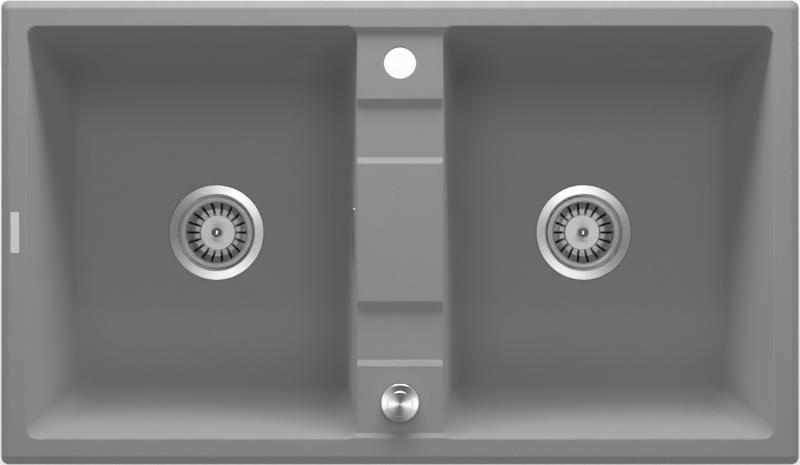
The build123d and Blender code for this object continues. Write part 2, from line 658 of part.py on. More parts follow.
def make_basket_knob(x):
    """Pull knob riveted on the basket's disc."""
    base, top = DISC_TOP, DISC_TOP + PULL_KNOB_HEIGHT
    edge = PULL_KNOB_EDGE
    return lathe([
        (0, base),
        (PULL_KNOB_RADIUS, base),
        (PULL_KNOB_RADIUS, base + edge),
        (PULL_KNOB_NECK, base + PULL_KNOB_FOOT),
        (PULL_KNOB_NECK, top - PULL_KNOB_HEAD - PULL_KNOB_FLARE),
        (PULL_KNOB_RADIUS, top - PULL_KNOB_HEAD),
        (PULL_KNOB_RADIUS, top - edge),
        (PULL_KNOB_RADIUS - edge, top),
        (PULL_KNOB_NECK, top),
        (PULL_KNOB_NECK - edge, top - edge),
        (PULL_KNOB_NECK / 2, top - edge),
        (0, top - edge / 4),
    ], x)


def make_waste_cup(side):
    """Plastic waste cup screwed on the neck from below; the left one also takes the overflow and the lift."""
    cup = plain_cup()
    if side == SIDES["right"]:
        return cup
    outside, holes = control_ports()
    room = disc(CUP_INNER_RADIUS, CUP_BOTTOM + CUP_WALL, NECK_BOTTOM, -STRAINER_X)
    return mirror(cup, about=Plane.YZ) + (outside - room) - holes


def plain_cup():
    """The right cup: flange, thread on the neck, round room, side outlet and pipe socket."""
    x, shoulder, end = STRAINER_X, STRAINER_X - CUP_SOCKET_FROM_AXIS, STRAINER_X - CUP_SOCKET_END
    outside = disc(CUP_OUTER, CUP_BOTTOM, CUP_TOP, x)
    outside += disc(CUP_FLANGE_RADIUS, CUP_TOP - CUP_FLANGE_THICKNESS, CUP_TOP, x)
    outside += bar((x, PIPE_Y, PIPE_Z), (shoulder, PIPE_Y, PIPE_Z), PIPE_RADIUS)
    outside += bar((shoulder, PIPE_Y, PIPE_Z), (end, PIPE_Y, PIPE_Z), SOCKET_RADIUS)
    inside = disc(CUP_INNER_RADIUS, CUP_BOTTOM + CUP_WALL, NECK_BOTTOM, x)
    inside += disc(NECK_OUTER, NECK_BOTTOM, CUP_TOP, x)
    cup = outside - inside
    cup -= bar((x, PIPE_Y, PIPE_Z), (end, PIPE_Y, PIPE_Z), PIPE_RADIUS - PIPE_WALL)
    return cup - bar((end + SOCKET_OVERLAP, PIPE_Y, PIPE_Z), (end, PIPE_Y, PIPE_Z), PIPE_RADIUS)


def control_ports():
    """The left cup's overflow inlet, cam shaft gland and the ear for the cable, and the holes in them."""
    axis = -STRAINER_X
    spigot_end = axis + CUP_OUTER + HOSE_SPIGOT_LENGTH
    outside = bar((axis, HOSE_Y, HOSE_Z), (spigot_end, HOSE_Y, HOSE_Z), HOSE_SPIGOT_RADIUS)
    holes = bar((axis, HOSE_Y, HOSE_Z), (spigot_end, HOSE_Y, HOSE_Z), HOSE_SPIGOT_BORE)
    outside += bar((CAM_X, CAM_BOSS_END_Y, CAM_Z), (CAM_X, 0, CAM_Z), CAM_BOSS_RADIUS)
    holes += bar((CAM_X, CAM_BOSS_END_Y, CAM_Z), (CAM_X, 0, CAM_Z), CAM_SHAFT_RADIUS + RUNNING_GAP)
    web_bottom = LEVER_TIP_Z - SADDLE_WEB_DROP
    web = Box(SADDLE_THICKNESS, -WIRE_Y - CUP_INNER_RADIUS / 2, CUP_BOTTOM + CUP_WALL - web_bottom,
              align=(Align.CENTER, Align.MIN, Align.MIN))
    outside += Pos(SADDLE_X, WIRE_Y, web_bottom) * web
    near_x, far_x = SADDLE_X - SADDLE_THICKNESS / 2, SADDLE_X + SADDLE_THICKNESS / 2
    outside += bar((near_x, WIRE_Y, LEVER_TIP_Z), (far_x, WIRE_Y, LEVER_TIP_Z), FERRULE_RADIUS + SADDLE_WALL)
    holes += bar((near_x, WIRE_Y, LEVER_TIP_Z), (far_x, WIRE_Y, LEVER_TIP_Z), FERRULE_RADIUS)
    return outside, holes


# ---------------------------------------------------------------- what raises the left basket
def make_lift_rod():
    """Rod through the guide under the left basket, with the foot that the cam pushes up."""
    x = -STRAINER_X
    rod = disc(LIFT_ROD_RADIUS, LIFT_FOOT_UNDERSIDE, LIFT_ROD_TOP, x)
    return rod + disc(LIFT_FOOT_RADIUS, LIFT_FOOT_UNDERSIDE, LIFT_FOOT_UNDERSIDE + LIFT_FOOT_THICKNESS, x)


def arm_plate(length, width, hub_radius, tip_radius, thickness):
    """A flat arm from a round hub at the origin to a round tip along +X, centred on its plane."""
    outline = Pos(length / 2, 0) * Rectangle(length, width)
    outline += Circle(hub_radius)
    outline += Pos(length, 0) * Circle(tip_radius)
    return extrude(outline, amount=thickness / 2, both=True)


def make_cam_shaft():
    """Shaft through the left cup's gland, with the finger inside that lifts the rod's foot."""
    finger = arm_plate(CAM_ARM, CAM_ARM_WIDTH, CAM_HUB_RADIUS, CAM_TIP_RADIUS, 2 * CAM_TIP_RADIUS)
    finger = Pos(CAM_X, 0, CAM_Z) * Rot(90, 0, 0) * Rot(0, 0, -CAM_HALF_TURN) * finger
    shaft_front = LEVER_Y - LEVER_THICKNESS / 2
    shaft_back = 2 * CAM_TIP_RADIUS
    return finger + bar((CAM_X, shaft_front, CAM_Z), (CAM_X, shaft_back, CAM_Z), CAM_SHAFT_RADIUS)


def make_cam_lever():
    """Arm outside the cup, keyed on the cam shaft, slotted for the nipple of the wire."""
    lever = arm_plate(LEVER_ARM, LEVER_WIDTH, CAM_BOSS_RADIUS, LEVER_WIDTH / 2, LEVER_THICKNESS)
    lever -= extrude(Circle(CAM_SHAFT_RADIUS), amount=LEVER_THICKNESS, both=True)
    slot = SlotCenterToCenter(LEVER_SLOT_PLAY, 2 * (NIPPLE_RADIUS + LEVER_SLOT_GAP))
    lever -= Pos(LEVER_ARM + LEVER_SLOT_PLAY / 4) * extrude(slot, amount=LEVER_THICKNESS, both=True)
    return Pos(CAM_X, LEVER_Y, CAM_Z) * Rot(90, 0, 0) * Rot(0, 0, -90 - CAM_HALF_TURN) * lever


def make_pull_wire():
    """The end of the cable's wire, with the nipple that sits in the lever."""
    front = WIRE_Y - NIPPLE_RADIUS + WIRE_RADIUS
    nipple = bar((LEVER_TIP_X, front, LEVER_TIP_Z), (LEVER_TIP_X, front + NIPPLE_LENGTH, LEVER_TIP_Z),
                 NIPPLE_RADIUS)
    return nipple + bar((LEVER_TIP_X, WIRE_Y, LEVER_TIP_Z), (LEVER_TIP_X + WIRE_LENGTH, WIRE_Y, LEVER_TIP_Z),
                        WIRE_RADIUS)


# ---------------------------------------------------------------- the control knob and its cable
def make_knob_gasket():
    return ring(ROSETTE_RADIUS - KNOB_GASKET_INSET, STUB_RADIUS, LEDGE_TOP, ROSETTE_BOTTOM, 0, KNOB_Y)


def make_knob_rosette():
    """Ring nut round the knob that draws the housing's stub up through the ledge."""
    return lathe([
        (STUB_RADIUS, ROSETTE_BOTTOM),
        (ROSETTE_RADIUS, ROSETTE_BOTTOM),
        (ROSETTE_RADIUS, ROSETTE_TOP - ROSETTE_CHAMFER),
        (ROSETTE_RADIUS - ROSETTE_CHAMFER, ROSETTE_TOP),
        (KNOB_SHAFT_RADIUS + ROSETTE_BORE_GAP, ROSETTE_TOP),
        (KNOB_SHAFT_RADIUS + ROSETTE_BORE_GAP, ROSETTE_TOP - ROSETTE_WEB),
        (STUB_RADIUS, ROSETTE_TOP - ROSETTE_WEB),
    ], 0, KNOB_Y)


def make_control_knob():
    """Turned steel knob with a blind bore for its shaft."""
    knob = lathe([
        (0, KNOB_BOTTOM),
        (KNOB_RADIUS - KNOB_CHAMFER, KNOB_BOTTOM),
        (KNOB_RADIUS, KNOB_BOTTOM + KNOB_CHAMFER),
        (KNOB_RADIUS, KNOB_TOP - KNOB_CHAMFER),
        (KNOB_RADIUS - KNOB_CHAMFER, KNOB_TOP),
        (0, KNOB_TOP),
    ], 0, KNOB_Y)
    return knob - disc(KNOB_SHAFT_RADIUS, KNOB_BOTTOM, KNOB_TOP - KNOB_TOP_WALL, 0, KNOB_Y)


def make_knob_shaft():
    return disc(KNOB_SHAFT_RADIUS, HOUSING_BOTTOM + SEAT_GAP, KNOB_TOP - KNOB_TOP_WALL, 0, KNOB_Y)


def make_cable_drum():
    """Grooved drum keyed on the shaft, which winds up the cable's wire."""
    half_groove = DRUM_HEIGHT / 2 - DRUM_FLANGE_THICKNESS
    return lathe([
        (KNOB_SHAFT_RADIUS, DRUM_TOP),
        (DRUM_FLANGE_RADIUS, DRUM_TOP),
        (DRUM_FLANGE_RADIUS, DRUM_MIDDLE + half_groove),
        (DRUM_RADIUS, DRUM_MIDDLE + half_groove - DRUM_GROOVE_SLOPE),
        (DRUM_RADIUS, DRUM_MIDDLE - half_groove + DRUM_GROOVE_SLOPE),
        (DRUM_FLANGE_RADIUS, DRUM_MIDDLE - half_groove),
        (DRUM_FLANGE_RADIUS, DRUM_TOP - DRUM_HEIGHT),
        (KNOB_SHAFT_RADIUS, DRUM_TOP - DRUM_HEIGHT),
    ], 0, KNOB_Y)


def make_knob_washer():
    return ring(HOUSING_RADIUS, STUB_RADIUS, HOUSING_SHOULDER, WASHER_TOP, 0, KNOB_Y)


def make_knob_housing():
    """Plastic housing under the ledge: threaded stub through the hole, shoulder and round case."""
    bore = KNOB_SHAFT_RADIUS + RUNNING_GAP
    housing = lathe([
        (bore, HOUSING_SHOULDER - HOUSING_TOP),
        (HOUSING_RADIUS - HOUSING_WALL, HOUSING_SHOULDER - HOUSING_TOP),
        (HOUSING_RADIUS - HOUSING_WALL, HOUSING_BOTTOM),
        (HOUSING_RADIUS, HOUSING_BOTTOM),
        (HOUSING_RADIUS, HOUSING_SHOULDER),
        (STUB_RADIUS, HOUSING_SHOULDER),
        (STUB_RADIUS, ROSETTE_TOP - ROSETTE_WEB),
        (bore, ROSETTE_TOP - ROSETTE_WEB),
    ], 0, KNOB_Y)
    nozzle = bar((-DRUM_RADIUS, KNOB_Y + HOUSING_RADIUS - HOUSING_WALL, DRUM_MIDDLE),
                 (-DRUM_RADIUS, nozzle_end(), DRUM_MIDDLE), FERRULE_RADIUS + HOUSING_WALL)
    inside = disc(HOUSING_RADIUS - HOUSING_WALL, HOUSING_BOTTOM, HOUSING_SHOULDER - HOUSING_TOP, 0, KNOB_Y)
    hole = bar((-DRUM_RADIUS, KNOB_Y, DRUM_MIDDLE), (-DRUM_RADIUS, nozzle_end(), DRUM_MIDDLE),
               FERRULE_RADIUS)
    return housing + (nozzle - inside) - hole


def nozzle_end():
    """How far back the housing's cable nozzle reaches."""
    return KNOB_Y + HOUSING_RADIUS + FERRULE_LENGTH / 4


def make_housing_lid():
    """Lid under the housing, with a spigot that fits inside and a seat for the shaft's end."""
    top = HOUSING_BOTTOM
    inner = HOUSING_RADIUS - HOUSING_WALL
    return lathe([
        (0, top - LID_THICKNESS),
        (HOUSING_RADIUS, top - LID_THICKNESS),
        (HOUSING_RADIUS, top),
        (inner, top),
        (inner, top + HOUSING_WALL),
        (inner - HOUSING_WALL, top + HOUSING_WALL),
        (inner - HOUSING_WALL, top),
        (0, top),
    ], 0, KNOB_Y)


def ferrule(start, towards):
    """Metal sleeve on the end of the cable, from its free end towards the cable."""
    direction = (Vector(*towards) - Vector(*start)).normalized()
    middle, end = (Vector(*start) + direction * (FERRULE_LENGTH * share) for share in (0.5, 1.0))
    sleeve = bar(start, tuple(end), FERRULE_RADIUS)
    sleeve -= bar(start, tuple(end), WIRE_RADIUS + CABLE_BORE_GAP)
    return sleeve - bar(tuple(middle), tuple(end), CABLE_RADIUS)


def cable_ends():
    """Free ends of the two ferrules: at the knob's housing and at the ear of the left waste."""
    knob_end = (-DRUM_RADIUS, nozzle_end() - FERRULE_LENGTH / 2, DRUM_MIDDLE)
    waste_end = (SADDLE_X - SADDLE_THICKNESS / 2, WIRE_Y, LEVER_TIP_Z)
    return knob_end, waste_end


def make_cable_ferrules():
    knob_end, waste_end = cable_ends()
    at_knob = ferrule(knob_end, (knob_end[0], 0, knob_end[2]))
    at_waste = ferrule(waste_end, (0, waste_end[1], waste_end[2]))
    return Compound(children=[at_knob.solid(), at_waste.solid()])


def make_control_cable():
    """Sheath of the cable, from the knob's housing down under the left bowl to the waste."""
    knob_end, waste_end = cable_ends()
    half = FERRULE_LENGTH / 2
    first = (knob_end[0], knob_end[1] + half, knob_end[2])
    last = (waste_end[0] + half, waste_end[1], waste_end[2])
    route = [first]
    for corner, steps in ((first, CABLE_BENDS_FROM_KNOB), (last, CABLE_BENDS_FROM_WASTE)):
        for step in steps:
            route.append(tuple(start + change for start, change in zip(corner, step)))
    route.append(last)
    sheath = cord(route, CABLE_RADIUS, "control cable")
    bore = bar(last, (last[0] + WIRE_BORE_DEPTH, last[1], last[2]), WIRE_RADIUS + CABLE_BORE_GAP)
    return sheath - bore


def cord(route, radius, name):
    """A round cord along straight runs joined by arcs as large as the runs allow."""
    points = [Vector(*point) for point in route]
    radii = []
    for before, corner, after in zip(points, points[1:], points[2:]):
        first, second = corner - before, after - corner
        turn = radians(first.get_angle(second))
        radii.append(0.45 * min(first.length, second.length) / tan(turn / 2))
    line = FilletPolyline(*points, radius=radii)
    start = Plane(origin=line @ 0, z_dir=line % 0)
    solid = sweep(start * Circle(radius), path=line)
    expected = pi * radius ** 2 * line.length
    print(f"{name}: length {line.length:.1f}, radii {[round(value) for value in radii]}, "
          f"volume {solid.volume / expected:.4f} of section times length")
    return solid


# ---------------------------------------------------------------- the overflow
def make_overflow_cover():
    """Shallow slotted steel cover over the overflow, held by two screws."""
    outside = extrude(RectangleRounded(COVER_LENGTH, COVER_HEIGHT, COVER_CORNER_RADIUS),
                      amount=COVER_STANDOFF)
    hollow_length, hollow_height = COVER_LENGTH - 2 * COVER_THICKNESS, COVER_HEIGHT - 2 * COVER_THICKNESS
    inside = extrude(RectangleRounded(hollow_length, hollow_height, COVER_CORNER_RADIUS - COVER_THICKNESS),
                     amount=COVER_STANDOFF - COVER_THICKNESS)
    cover = outside - inside
    for index in range(COVER_SLOTS):
        height = (index - (COVER_SLOTS - 1) / 2) * COVER_SLOT_PITCH
        slot = SlotOverall(COVER_SLOT_LENGTH, COVER_SLOT_WIDTH)
        cover -= Pos(0, height) * extrude(slot, amount=COVER_STANDOFF)
    for x in (-COVER_SCREW_Y, COVER_SCREW_Y):
        cover += Pos(x) * extrude(Circle(COVER_SCREW_HEAD), amount=COVER_STANDOFF)
        cover -= Pos(x) * extrude(Circle(COVER_SCREW_RADIUS), amount=COVER_STANDOFF)
    return overflow_plane() * cover


def make_overflow_screws():
    """The cover's two screws, with domed slotted heads."""
    depth = WALL_THICKNESS + OVERFLOW_GASKET_THICKNESS + COVER_SCREW_GRIP
    screws = []
    for x in (-COVER_SCREW_Y, COVER_SCREW_Y):
        head = lathe([
            (0, -depth),
            (COVER_SCREW_RADIUS, -depth),
            (COVER_SCREW_RADIUS, COVER_STANDOFF),
            (COVER_SCREW_HEAD, COVER_STANDOFF),
            (COVER_SCREW_HEAD - COVER_SCREW_EDGE, COVER_STANDOFF + COVER_SCREW_SHOULDER),
            (0, COVER_STANDOFF + COVER_SCREW_DOME),
        ])
        slot = Box(2 * COVER_SCREW_HEAD, COVER_SCREW_SLOT, 2 * COVER_SCREW_EDGE)
        head -= Pos(0, 0, COVER_STANDOFF + COVER_SCREW_DOME) * slot
        screws.append((overflow_plane() * Pos(x) * head).solid())
    return Compound(children=screws)


def make_overflow_gasket():
    ring_face = RectangleRounded(HEAD_LENGTH, HEAD_HEIGHT, COVER_CORNER_RADIUS)
    ring_face -= RectangleRounded(OVERFLOW_HOLE_LENGTH, OVERFLOW_HOLE_HEIGHT, OVERFLOW_HOLE_CORNER)
    for x in (-COVER_SCREW_Y, COVER_SCREW_Y):
        ring_face -= Pos(x) * Circle(COVER_SCREW_RADIUS)
    back = overflow_plane(WALL_THICKNESS + OVERFLOW_GASKET_THICKNESS)
    return extrude(back * ring_face, amount=OVERFLOW_GASKET_THICKNESS)


def make_overflow_head():
    """Plastic head behind the wall that turns the overflow down into its hose."""
    front = overflow_plane(WALL_THICKNESS + OVERFLOW_GASKET_THICKNESS)
    block = extrude(RectangleRounded(HEAD_LENGTH, HEAD_HEIGHT, COVER_CORNER_RADIUS), amount=-HEAD_DEPTH)
    throat = extrude(Rectangle(OVERFLOW_HOLE_LENGTH, OVERFLOW_HOLE_HEIGHT), amount=-HEAD_THROAT_DEPTH)
    room = Rectangle(HEAD_LENGTH - 2 * HEAD_WALL, HEAD_HEIGHT - 2 * HEAD_WALL)
    room = Pos(0, 0, -HEAD_ROOM_START) * extrude(room, amount=-(HEAD_DEPTH - HEAD_ROOM_START - HEAD_WALL))
    for x in (-COVER_SCREW_Y, COVER_SCREW_Y):
        throat += Pos(x) * extrude(Circle(COVER_SCREW_RADIUS), amount=-COVER_SCREW_GRIP)
    middle = RIM_TOP - COVER_MIDDLE_DROP
    spigot_end = middle - HEAD_HEIGHT / 2 - HOSE_SPIGOT_LENGTH
    spigot = disc(HOSE_SPIGOT_RADIUS, spigot_end, middle - HEAD_HEIGHT / 2 + HEAD_WALL, HOSE_X, HOSE_Y)
    bore = disc(HOSE_SPIGOT_BORE, spigot_end, middle, HOSE_X, HOSE_Y)
    return front * block + spigot - front * (throat + room) - bore


def hose_route():
    """Line of the overflow hose: down from the head, round two wide half bends and along to the cup."""
    top = RIM_TOP - COVER_MIDDLE_DROP - HEAD_HEIGHT / 2 - 2 * HEAD_WALL
    end_x = -STRAINER_X + CUP_OUTER + SEAT_GAP
    bend_run = HOSE_BEND_RADIUS * tan(radians(22.5))
    cut = (2 * bend_run + HOSE_RUN_BETWEEN_BENDS) * cos(radians(45))
    return FilletPolyline((HOSE_X, HOSE_Y, top), (HOSE_X, HOSE_Y, HOSE_Z + cut),
                          (HOSE_X - cut, HOSE_Y, HOSE_Z), (end_x, HOSE_Y, HOSE_Z), radius=HOSE_BEND_RADIUS)


def make_overflow_hose():
    """Ribbed hose with smooth cuffs that push over both spigots."""
    route = hose_route()
    cuff = HOSE_SPIGOT_LENGTH
    ribbed = route.length - 2 * cuff
    ribs = int(ribbed / HOSE_RIB_PITCH)
    pitch = ribbed / ribs
    steady = Vector(0, 1, 0)

    def section(distance, radius):
        share = distance / route.length
        return Plane(origin=route @ share, x_dir=steady, z_dir=route % share) * Circle(radius)

    sections = [section(0, HOSE_ROOT_RADIUS)]
    for index in range(ribs):
        start = cuff + index * pitch
        for share, radius in RIB_CIRCLES:
            sections.append(section(start + share * pitch, radius))
    sections.append(section(route.length, HOSE_ROOT_RADIUS))
    outside = loft(sections, ruled=True)
    bore = sweep(section(0, HOSE_SPIGOT_RADIUS), path=route)
    print(f"overflow hose: length {route.length:.1f}, {ribs} ribs")
    return outside - bore


def make_hose_clamps():
    """Two worm-drive bands round the hose's cuffs."""
    band = ring(HOSE_ROOT_RADIUS + CLAMP_THICKNESS, HOSE_ROOT_RADIUS, -CLAMP_WIDTH / 2, CLAMP_WIDTH / 2)
    block = Box(CLAMP_BLOCK_LENGTH, CLAMP_BLOCK_HEIGHT, CLAMP_WIDTH + 2 * CLAMP_BLOCK_OVERHANG)
    block = Pos(0, HOSE_ROOT_RADIUS + CLAMP_BLOCK_LIFT, 0) * block
    block -= disc(HOSE_ROOT_RADIUS, -CLAMP_WIDTH, CLAMP_WIDTH)
    near, lift = CLAMP_BLOCK_LENGTH / 2, HOSE_ROOT_RADIUS + CLAMP_SCREW_LIFT
    block += bar((near, lift, 0), (near + CLAMP_SCREW_HEAD, lift, 0), CLAMP_SCREW_RADIUS)
    clamp = band + block
    top = RIM_TOP - COVER_MIDDLE_DROP - HEAD_HEIGHT / 2 - HOSE_SPIGOT_LENGTH / 2
    cup_x = -STRAINER_X + CUP_OUTER + HOSE_SPIGOT_LENGTH / 2
    upper = Pos(HOSE_X, HOSE_Y, top) * clamp
    lower = Pos(cup_x, HOSE_Y, HOSE_Z) * Rot(0, 90, 0) * clamp
    return Compound(children=[upper.solid(), lower.solid()])


# ---------------------------------------------------------------- the pipes that join the wastes
def pipe_line(side):
    """Distances along X of one waste pipe: its ends in the cup's socket and in the tee."""
    outward = side * (STRAINER_X - CUP_SOCKET_END + SOCKET_OVERLAP)
    inward = side * (TEE_HALF_LENGTH - SOCKET_OVERLAP)
    return outward, inward


def make_waste_pipe(side):
    outward, inward = pipe_line(side)
    start, end = (outward, PIPE_Y, PIPE_Z), (inward, PIPE_Y, PIPE_Z)
    return bar(start, end, PIPE_RADIUS) - bar(start, end, PIPE_RADIUS - PIPE_WALL)


def make_waste_tee():
    """Tee between the bowls, with its outlet down to the trap."""
    half = (TEE_HALF_LENGTH, PIPE_Y, PIPE_Z)
    other = (-TEE_HALF_LENGTH, PIPE_Y, PIPE_Z)
    tee = bar(other, half, SOCKET_RADIUS)
    collar_bottom = PIPE_Z - SOCKET_RADIUS - OUTLET_COLLAR_DROP
    tee += disc(SOCKET_RADIUS + OUTLET_COLLAR, collar_bottom, PIPE_Z, 0, PIPE_Y)
    tee += disc(PIPE_RADIUS, PIPE_Z - OUTLET_LENGTH, PIPE_Z, 0, PIPE_Y)
    tee -= bar(other, half, PIPE_RADIUS - PIPE_WALL)
    tee -= disc(PIPE_RADIUS - PIPE_WALL - OUTLET_TAPER, PIPE_Z - OUTLET_LENGTH, PIPE_Z, 0, PIPE_Y)
    for side in SIDES.values():
        end = (side * TEE_HALF_LENGTH, PIPE_Y, PIPE_Z)
        tee -= bar((side * (TEE_HALF_LENGTH - SOCKET_OVERLAP), PIPE_Y, PIPE_Z), end, PIPE_RADIUS)
    return tee


def joint_faces():
    """Where each socket ends, and which way along X its pipe leaves it."""
    faces = []
    for side in SIDES.values():
        faces.append((side * (STRAINER_X - CUP_SOCKET_END), -side))
        faces.append((side * TEE_HALF_LENGTH, side))
    return faces


def make_pipe_nuts():
    """Ribbed ring nuts that squeeze the washers round the pipes."""
    nuts = []
    overlap = NUT_LENGTH / 2
    for face, way in joint_faces():
        start, end = face - way * overlap, face + way * (NUT_LENGTH - overlap)
        shoulder = face + way * WASHER_LENGTH
        nut = bar((start, PIPE_Y, PIPE_Z), (end, PIPE_Y, PIPE_Z), NUT_RADIUS - NUT_RIB_RADIUS)
        for index in range(NUT_RIBS):
            angle = 2 * pi * index / NUT_RIBS
            y = PIPE_Y + (NUT_RADIUS - NUT_RIB_RADIUS) * cos(angle)
            z = PIPE_Z + (NUT_RADIUS - NUT_RIB_RADIUS) * sin(angle)
            nut += bar((start, y, z), (end, y, z), NUT_RIB_RADIUS)
        nut -= bar((start, PIPE_Y, PIPE_Z), (shoulder, PIPE_Y, PIPE_Z), SOCKET_RADIUS)
        nut -= bar((start, PIPE_Y, PIPE_Z), (end, PIPE_Y, PIPE_Z), PIPE_RADIUS)
        nuts.append(nut.solid())
    return Compound(children=nuts)


def make_pipe_washers():
    washers = []
    for face, way in joint_faces():
        start, end = (face, PIPE_Y, PIPE_Z), (face + way * WASHER_LENGTH, PIPE_Y, PIPE_Z)
        washers.append((bar(start, end, SOCKET_RADIUS) - bar(start, end, PIPE_RADIUS)).solid())
    return Compound(children=washers)


# ---------------------------------------------------------------- seal, badge and clips
def make_badge_plate():
    """Small steel plate, left bare, with a fine sunk border."""
    outline = RectangleRounded(BADGE_WIDTH - 2 * BADGE_BORDER, BADGE_LENGTH - 2 * BADGE_BORDER,
                               BADGE_CORNER_RADIUS / 2)
    inset = 2 * (BADGE_BORDER + BADGE_LINE_WIDTH)
    outline -= Rectangle(BADGE_WIDTH - inset, BADGE_LENGTH - inset)
    line = Pos(BADGE_X, 0, RIM_TOP) * extrude(outline, amount=-BADGE_LINE_DEPTH)
    return badge_block(0, BADGE_THICKNESS) - line


def make_clip_inserts():
    """Threaded brass inserts moulded in the bosses under the rim."""
    floor = DECK_UNDERSIDE - CLIP_BOSS_DEPTH
    inserts = [ring(CLIP_INSERT_RADIUS, CLIP_SCREW_RADIUS, floor, floor + CLIP_INSERT_LENGTH, x, y).solid()
               for x, y, turn in CLIPS.values()]
    return Compound(children=inserts)


def make_clip_screws():
    """Long screws that draw the clips up, with hexagon heads."""
    screws = []
    for x, y, turn in CLIPS.values():
        head = extrude(RegularPolygon(CLIP_SCREW_HEAD, 6), amount=-CLIP_SCREW_HEAD_HEIGHT)
        screw = Pos(x, y, CLIP_SCREW_HEAD_TOP) * head
        screw += disc(CLIP_SCREW_RADIUS, CLIP_SCREW_HEAD_TOP, CLIP_SCREW_END, x, y)
        screws.append(screw.solid())
    return Compound(children=screws)


def make_clip(x, y, turn):
    """Swing clip: a hub on the screw, an arm and the tooth that bites under the worktop."""
    half = CLIP_ARM_WIDTH / 2
    arm = Pos(CLIP_ARM_LENGTH / 2, 0) * Rectangle(CLIP_ARM_LENGTH, CLIP_ARM_WIDTH)
    clip = extrude(arm + Circle(CLIP_HUB_RADIUS), amount=-CLIP_ARM_THICKNESS)
    tooth_x = CLIP_ARM_LENGTH - CLIP_ARM_THICKNESS / 2
    clip += Pos(tooth_x, 0, -CLIP_ARM_THICKNESS) * Box(
        CLIP_ARM_THICKNESS, 2 * half, CLIP_TOOTH_HEIGHT + CLIP_ARM_THICKNESS,
        align=(Align.CENTER, Align.CENTER, Align.MIN))
    clip -= Pos(0, 0, -CLIP_ARM_THICKNESS) * extrude(
        Circle(CLIP_SCREW_RADIUS + RUNNING_GAP), amount=CLIP_ARM_THICKNESS)
    return Pos(x, y, CLIP_ARM_TOP) * Rot(0, 0, turn) * clip


# ---------------------------------------------------------------- write every sub-part
def main():
    os.makedirs("parts", exist_ok=True)
    save("sink_body", make_sink_body())
    save("rim_seal", seal_channel(SEAL_SIDE_GAP))
    save("badge_plate", make_badge_plate())
    for name, side in SIDES.items():
        x = side * STRAINER_X
        save(f"{name}_strainer_flange", make_strainer_flange(x))
        save(f"{name}_flange_gasket", make_flange_gasket(x))
        save(f"{name}_cup_gasket", make_cup_gasket(x))
        save(f"{name}_basket", make_basket(x))
        save(f"{name}_basket_seal", make_basket_seal(x))
        save(f"{name}_basket_knob", make_basket_knob(x))
        save(f"{name}_waste_cup", make_waste_cup(side))
        save(f"{name}_waste_pipe", make_waste_pipe(side))
    save("lift_rod", make_lift_rod())
    save("cam_shaft", make_cam_shaft())
    save("cam_lever", make_cam_lever())
    save("pull_wire", make_pull_wire())
    save("knob_gasket", make_knob_gasket())
    save("knob_rosette", make_knob_rosette())
    save("control_knob", make_control_knob())
    save("knob_shaft", make_knob_shaft())
    save("cable_drum", make_cable_drum())
    save("knob_washer", make_knob_washer())
    save("knob_housing", make_knob_housing())
    save("housing_lid", make_housing_lid())
    save("cable_ferrules", make_cable_ferrules())
    save("control_cable", make_control_cable())
    save("overflow_cover", make_overflow_cover())
    save("overflow_screws", make_overflow_screws())
    save("overflow_gasket", make_overflow_gasket())
    save("overflow_head", make_overflow_head())
    save("overflow_hose", make_overflow_hose())
    save("hose_clamps", make_hose_clamps())
    save("waste_tee", make_waste_tee())
    save("pipe_nuts", make_pipe_nuts())
    save("pipe_washers", make_pipe_washers())
    save("clip_inserts", make_clip_inserts())
    save("clip_screws", make_clip_screws())
    for name, (x, y, turn) in CLIPS.items():
        save(name, make_clip(x, y, turn))
    print(f"cam turns {CAM_TURN:.3f} degrees, wire pulls {WIRE_PULL:.3f} mm, basket lifts {BASKET_LIFT} mm")
    print(f"cam axis x {CAM_X} z {CAM_Z}, tap ledge {LEDGE_TOP} to {DECK_UNDERSIDE}")


main()
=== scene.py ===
# %% [markdown]
# # A double bowl kitchen sink in moulded stone composite
# The sink's shapes come from CAD, and this lesson gives them the looks of the real thing:
# a camera and soft studio light, a stone-like composite, brushed and turned steels, plastics
# and rubber, and two flexible pieces, the overflow hose and the control cable, made anew.
# Everything is in metres: +Z is up, the front edge of the sink is towards -Y.

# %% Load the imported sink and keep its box
import math

import bmesh
import bpy
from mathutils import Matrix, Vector


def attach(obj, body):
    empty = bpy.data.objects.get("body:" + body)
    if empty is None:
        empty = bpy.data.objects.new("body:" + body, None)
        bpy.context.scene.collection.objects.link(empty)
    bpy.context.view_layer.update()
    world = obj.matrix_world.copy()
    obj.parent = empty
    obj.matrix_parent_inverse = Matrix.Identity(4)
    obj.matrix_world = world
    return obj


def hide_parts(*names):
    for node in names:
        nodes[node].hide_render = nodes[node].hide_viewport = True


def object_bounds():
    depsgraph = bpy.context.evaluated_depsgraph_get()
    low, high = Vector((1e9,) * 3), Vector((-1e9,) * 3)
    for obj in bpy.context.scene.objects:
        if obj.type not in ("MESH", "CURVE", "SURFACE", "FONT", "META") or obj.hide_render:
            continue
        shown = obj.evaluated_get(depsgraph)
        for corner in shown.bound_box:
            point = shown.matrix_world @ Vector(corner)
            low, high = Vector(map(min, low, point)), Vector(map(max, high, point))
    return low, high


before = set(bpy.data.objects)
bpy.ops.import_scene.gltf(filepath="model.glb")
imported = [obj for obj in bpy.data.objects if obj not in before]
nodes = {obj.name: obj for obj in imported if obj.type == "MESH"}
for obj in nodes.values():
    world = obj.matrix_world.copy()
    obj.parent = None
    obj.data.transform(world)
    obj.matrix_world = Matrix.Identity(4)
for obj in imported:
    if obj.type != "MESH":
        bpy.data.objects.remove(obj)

cad_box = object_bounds()
scene = bpy.context.scene
print("nodes loaded:", len(nodes))

# %% [markdown]
# ## The camera
# The photograph looks straight down, from far enough away that the bowls' walls are seen
# foreshortened but clearly. A camera made by hand starts out looking down -Z with +Y at the top
# of its picture, so it needs a place and no turn.

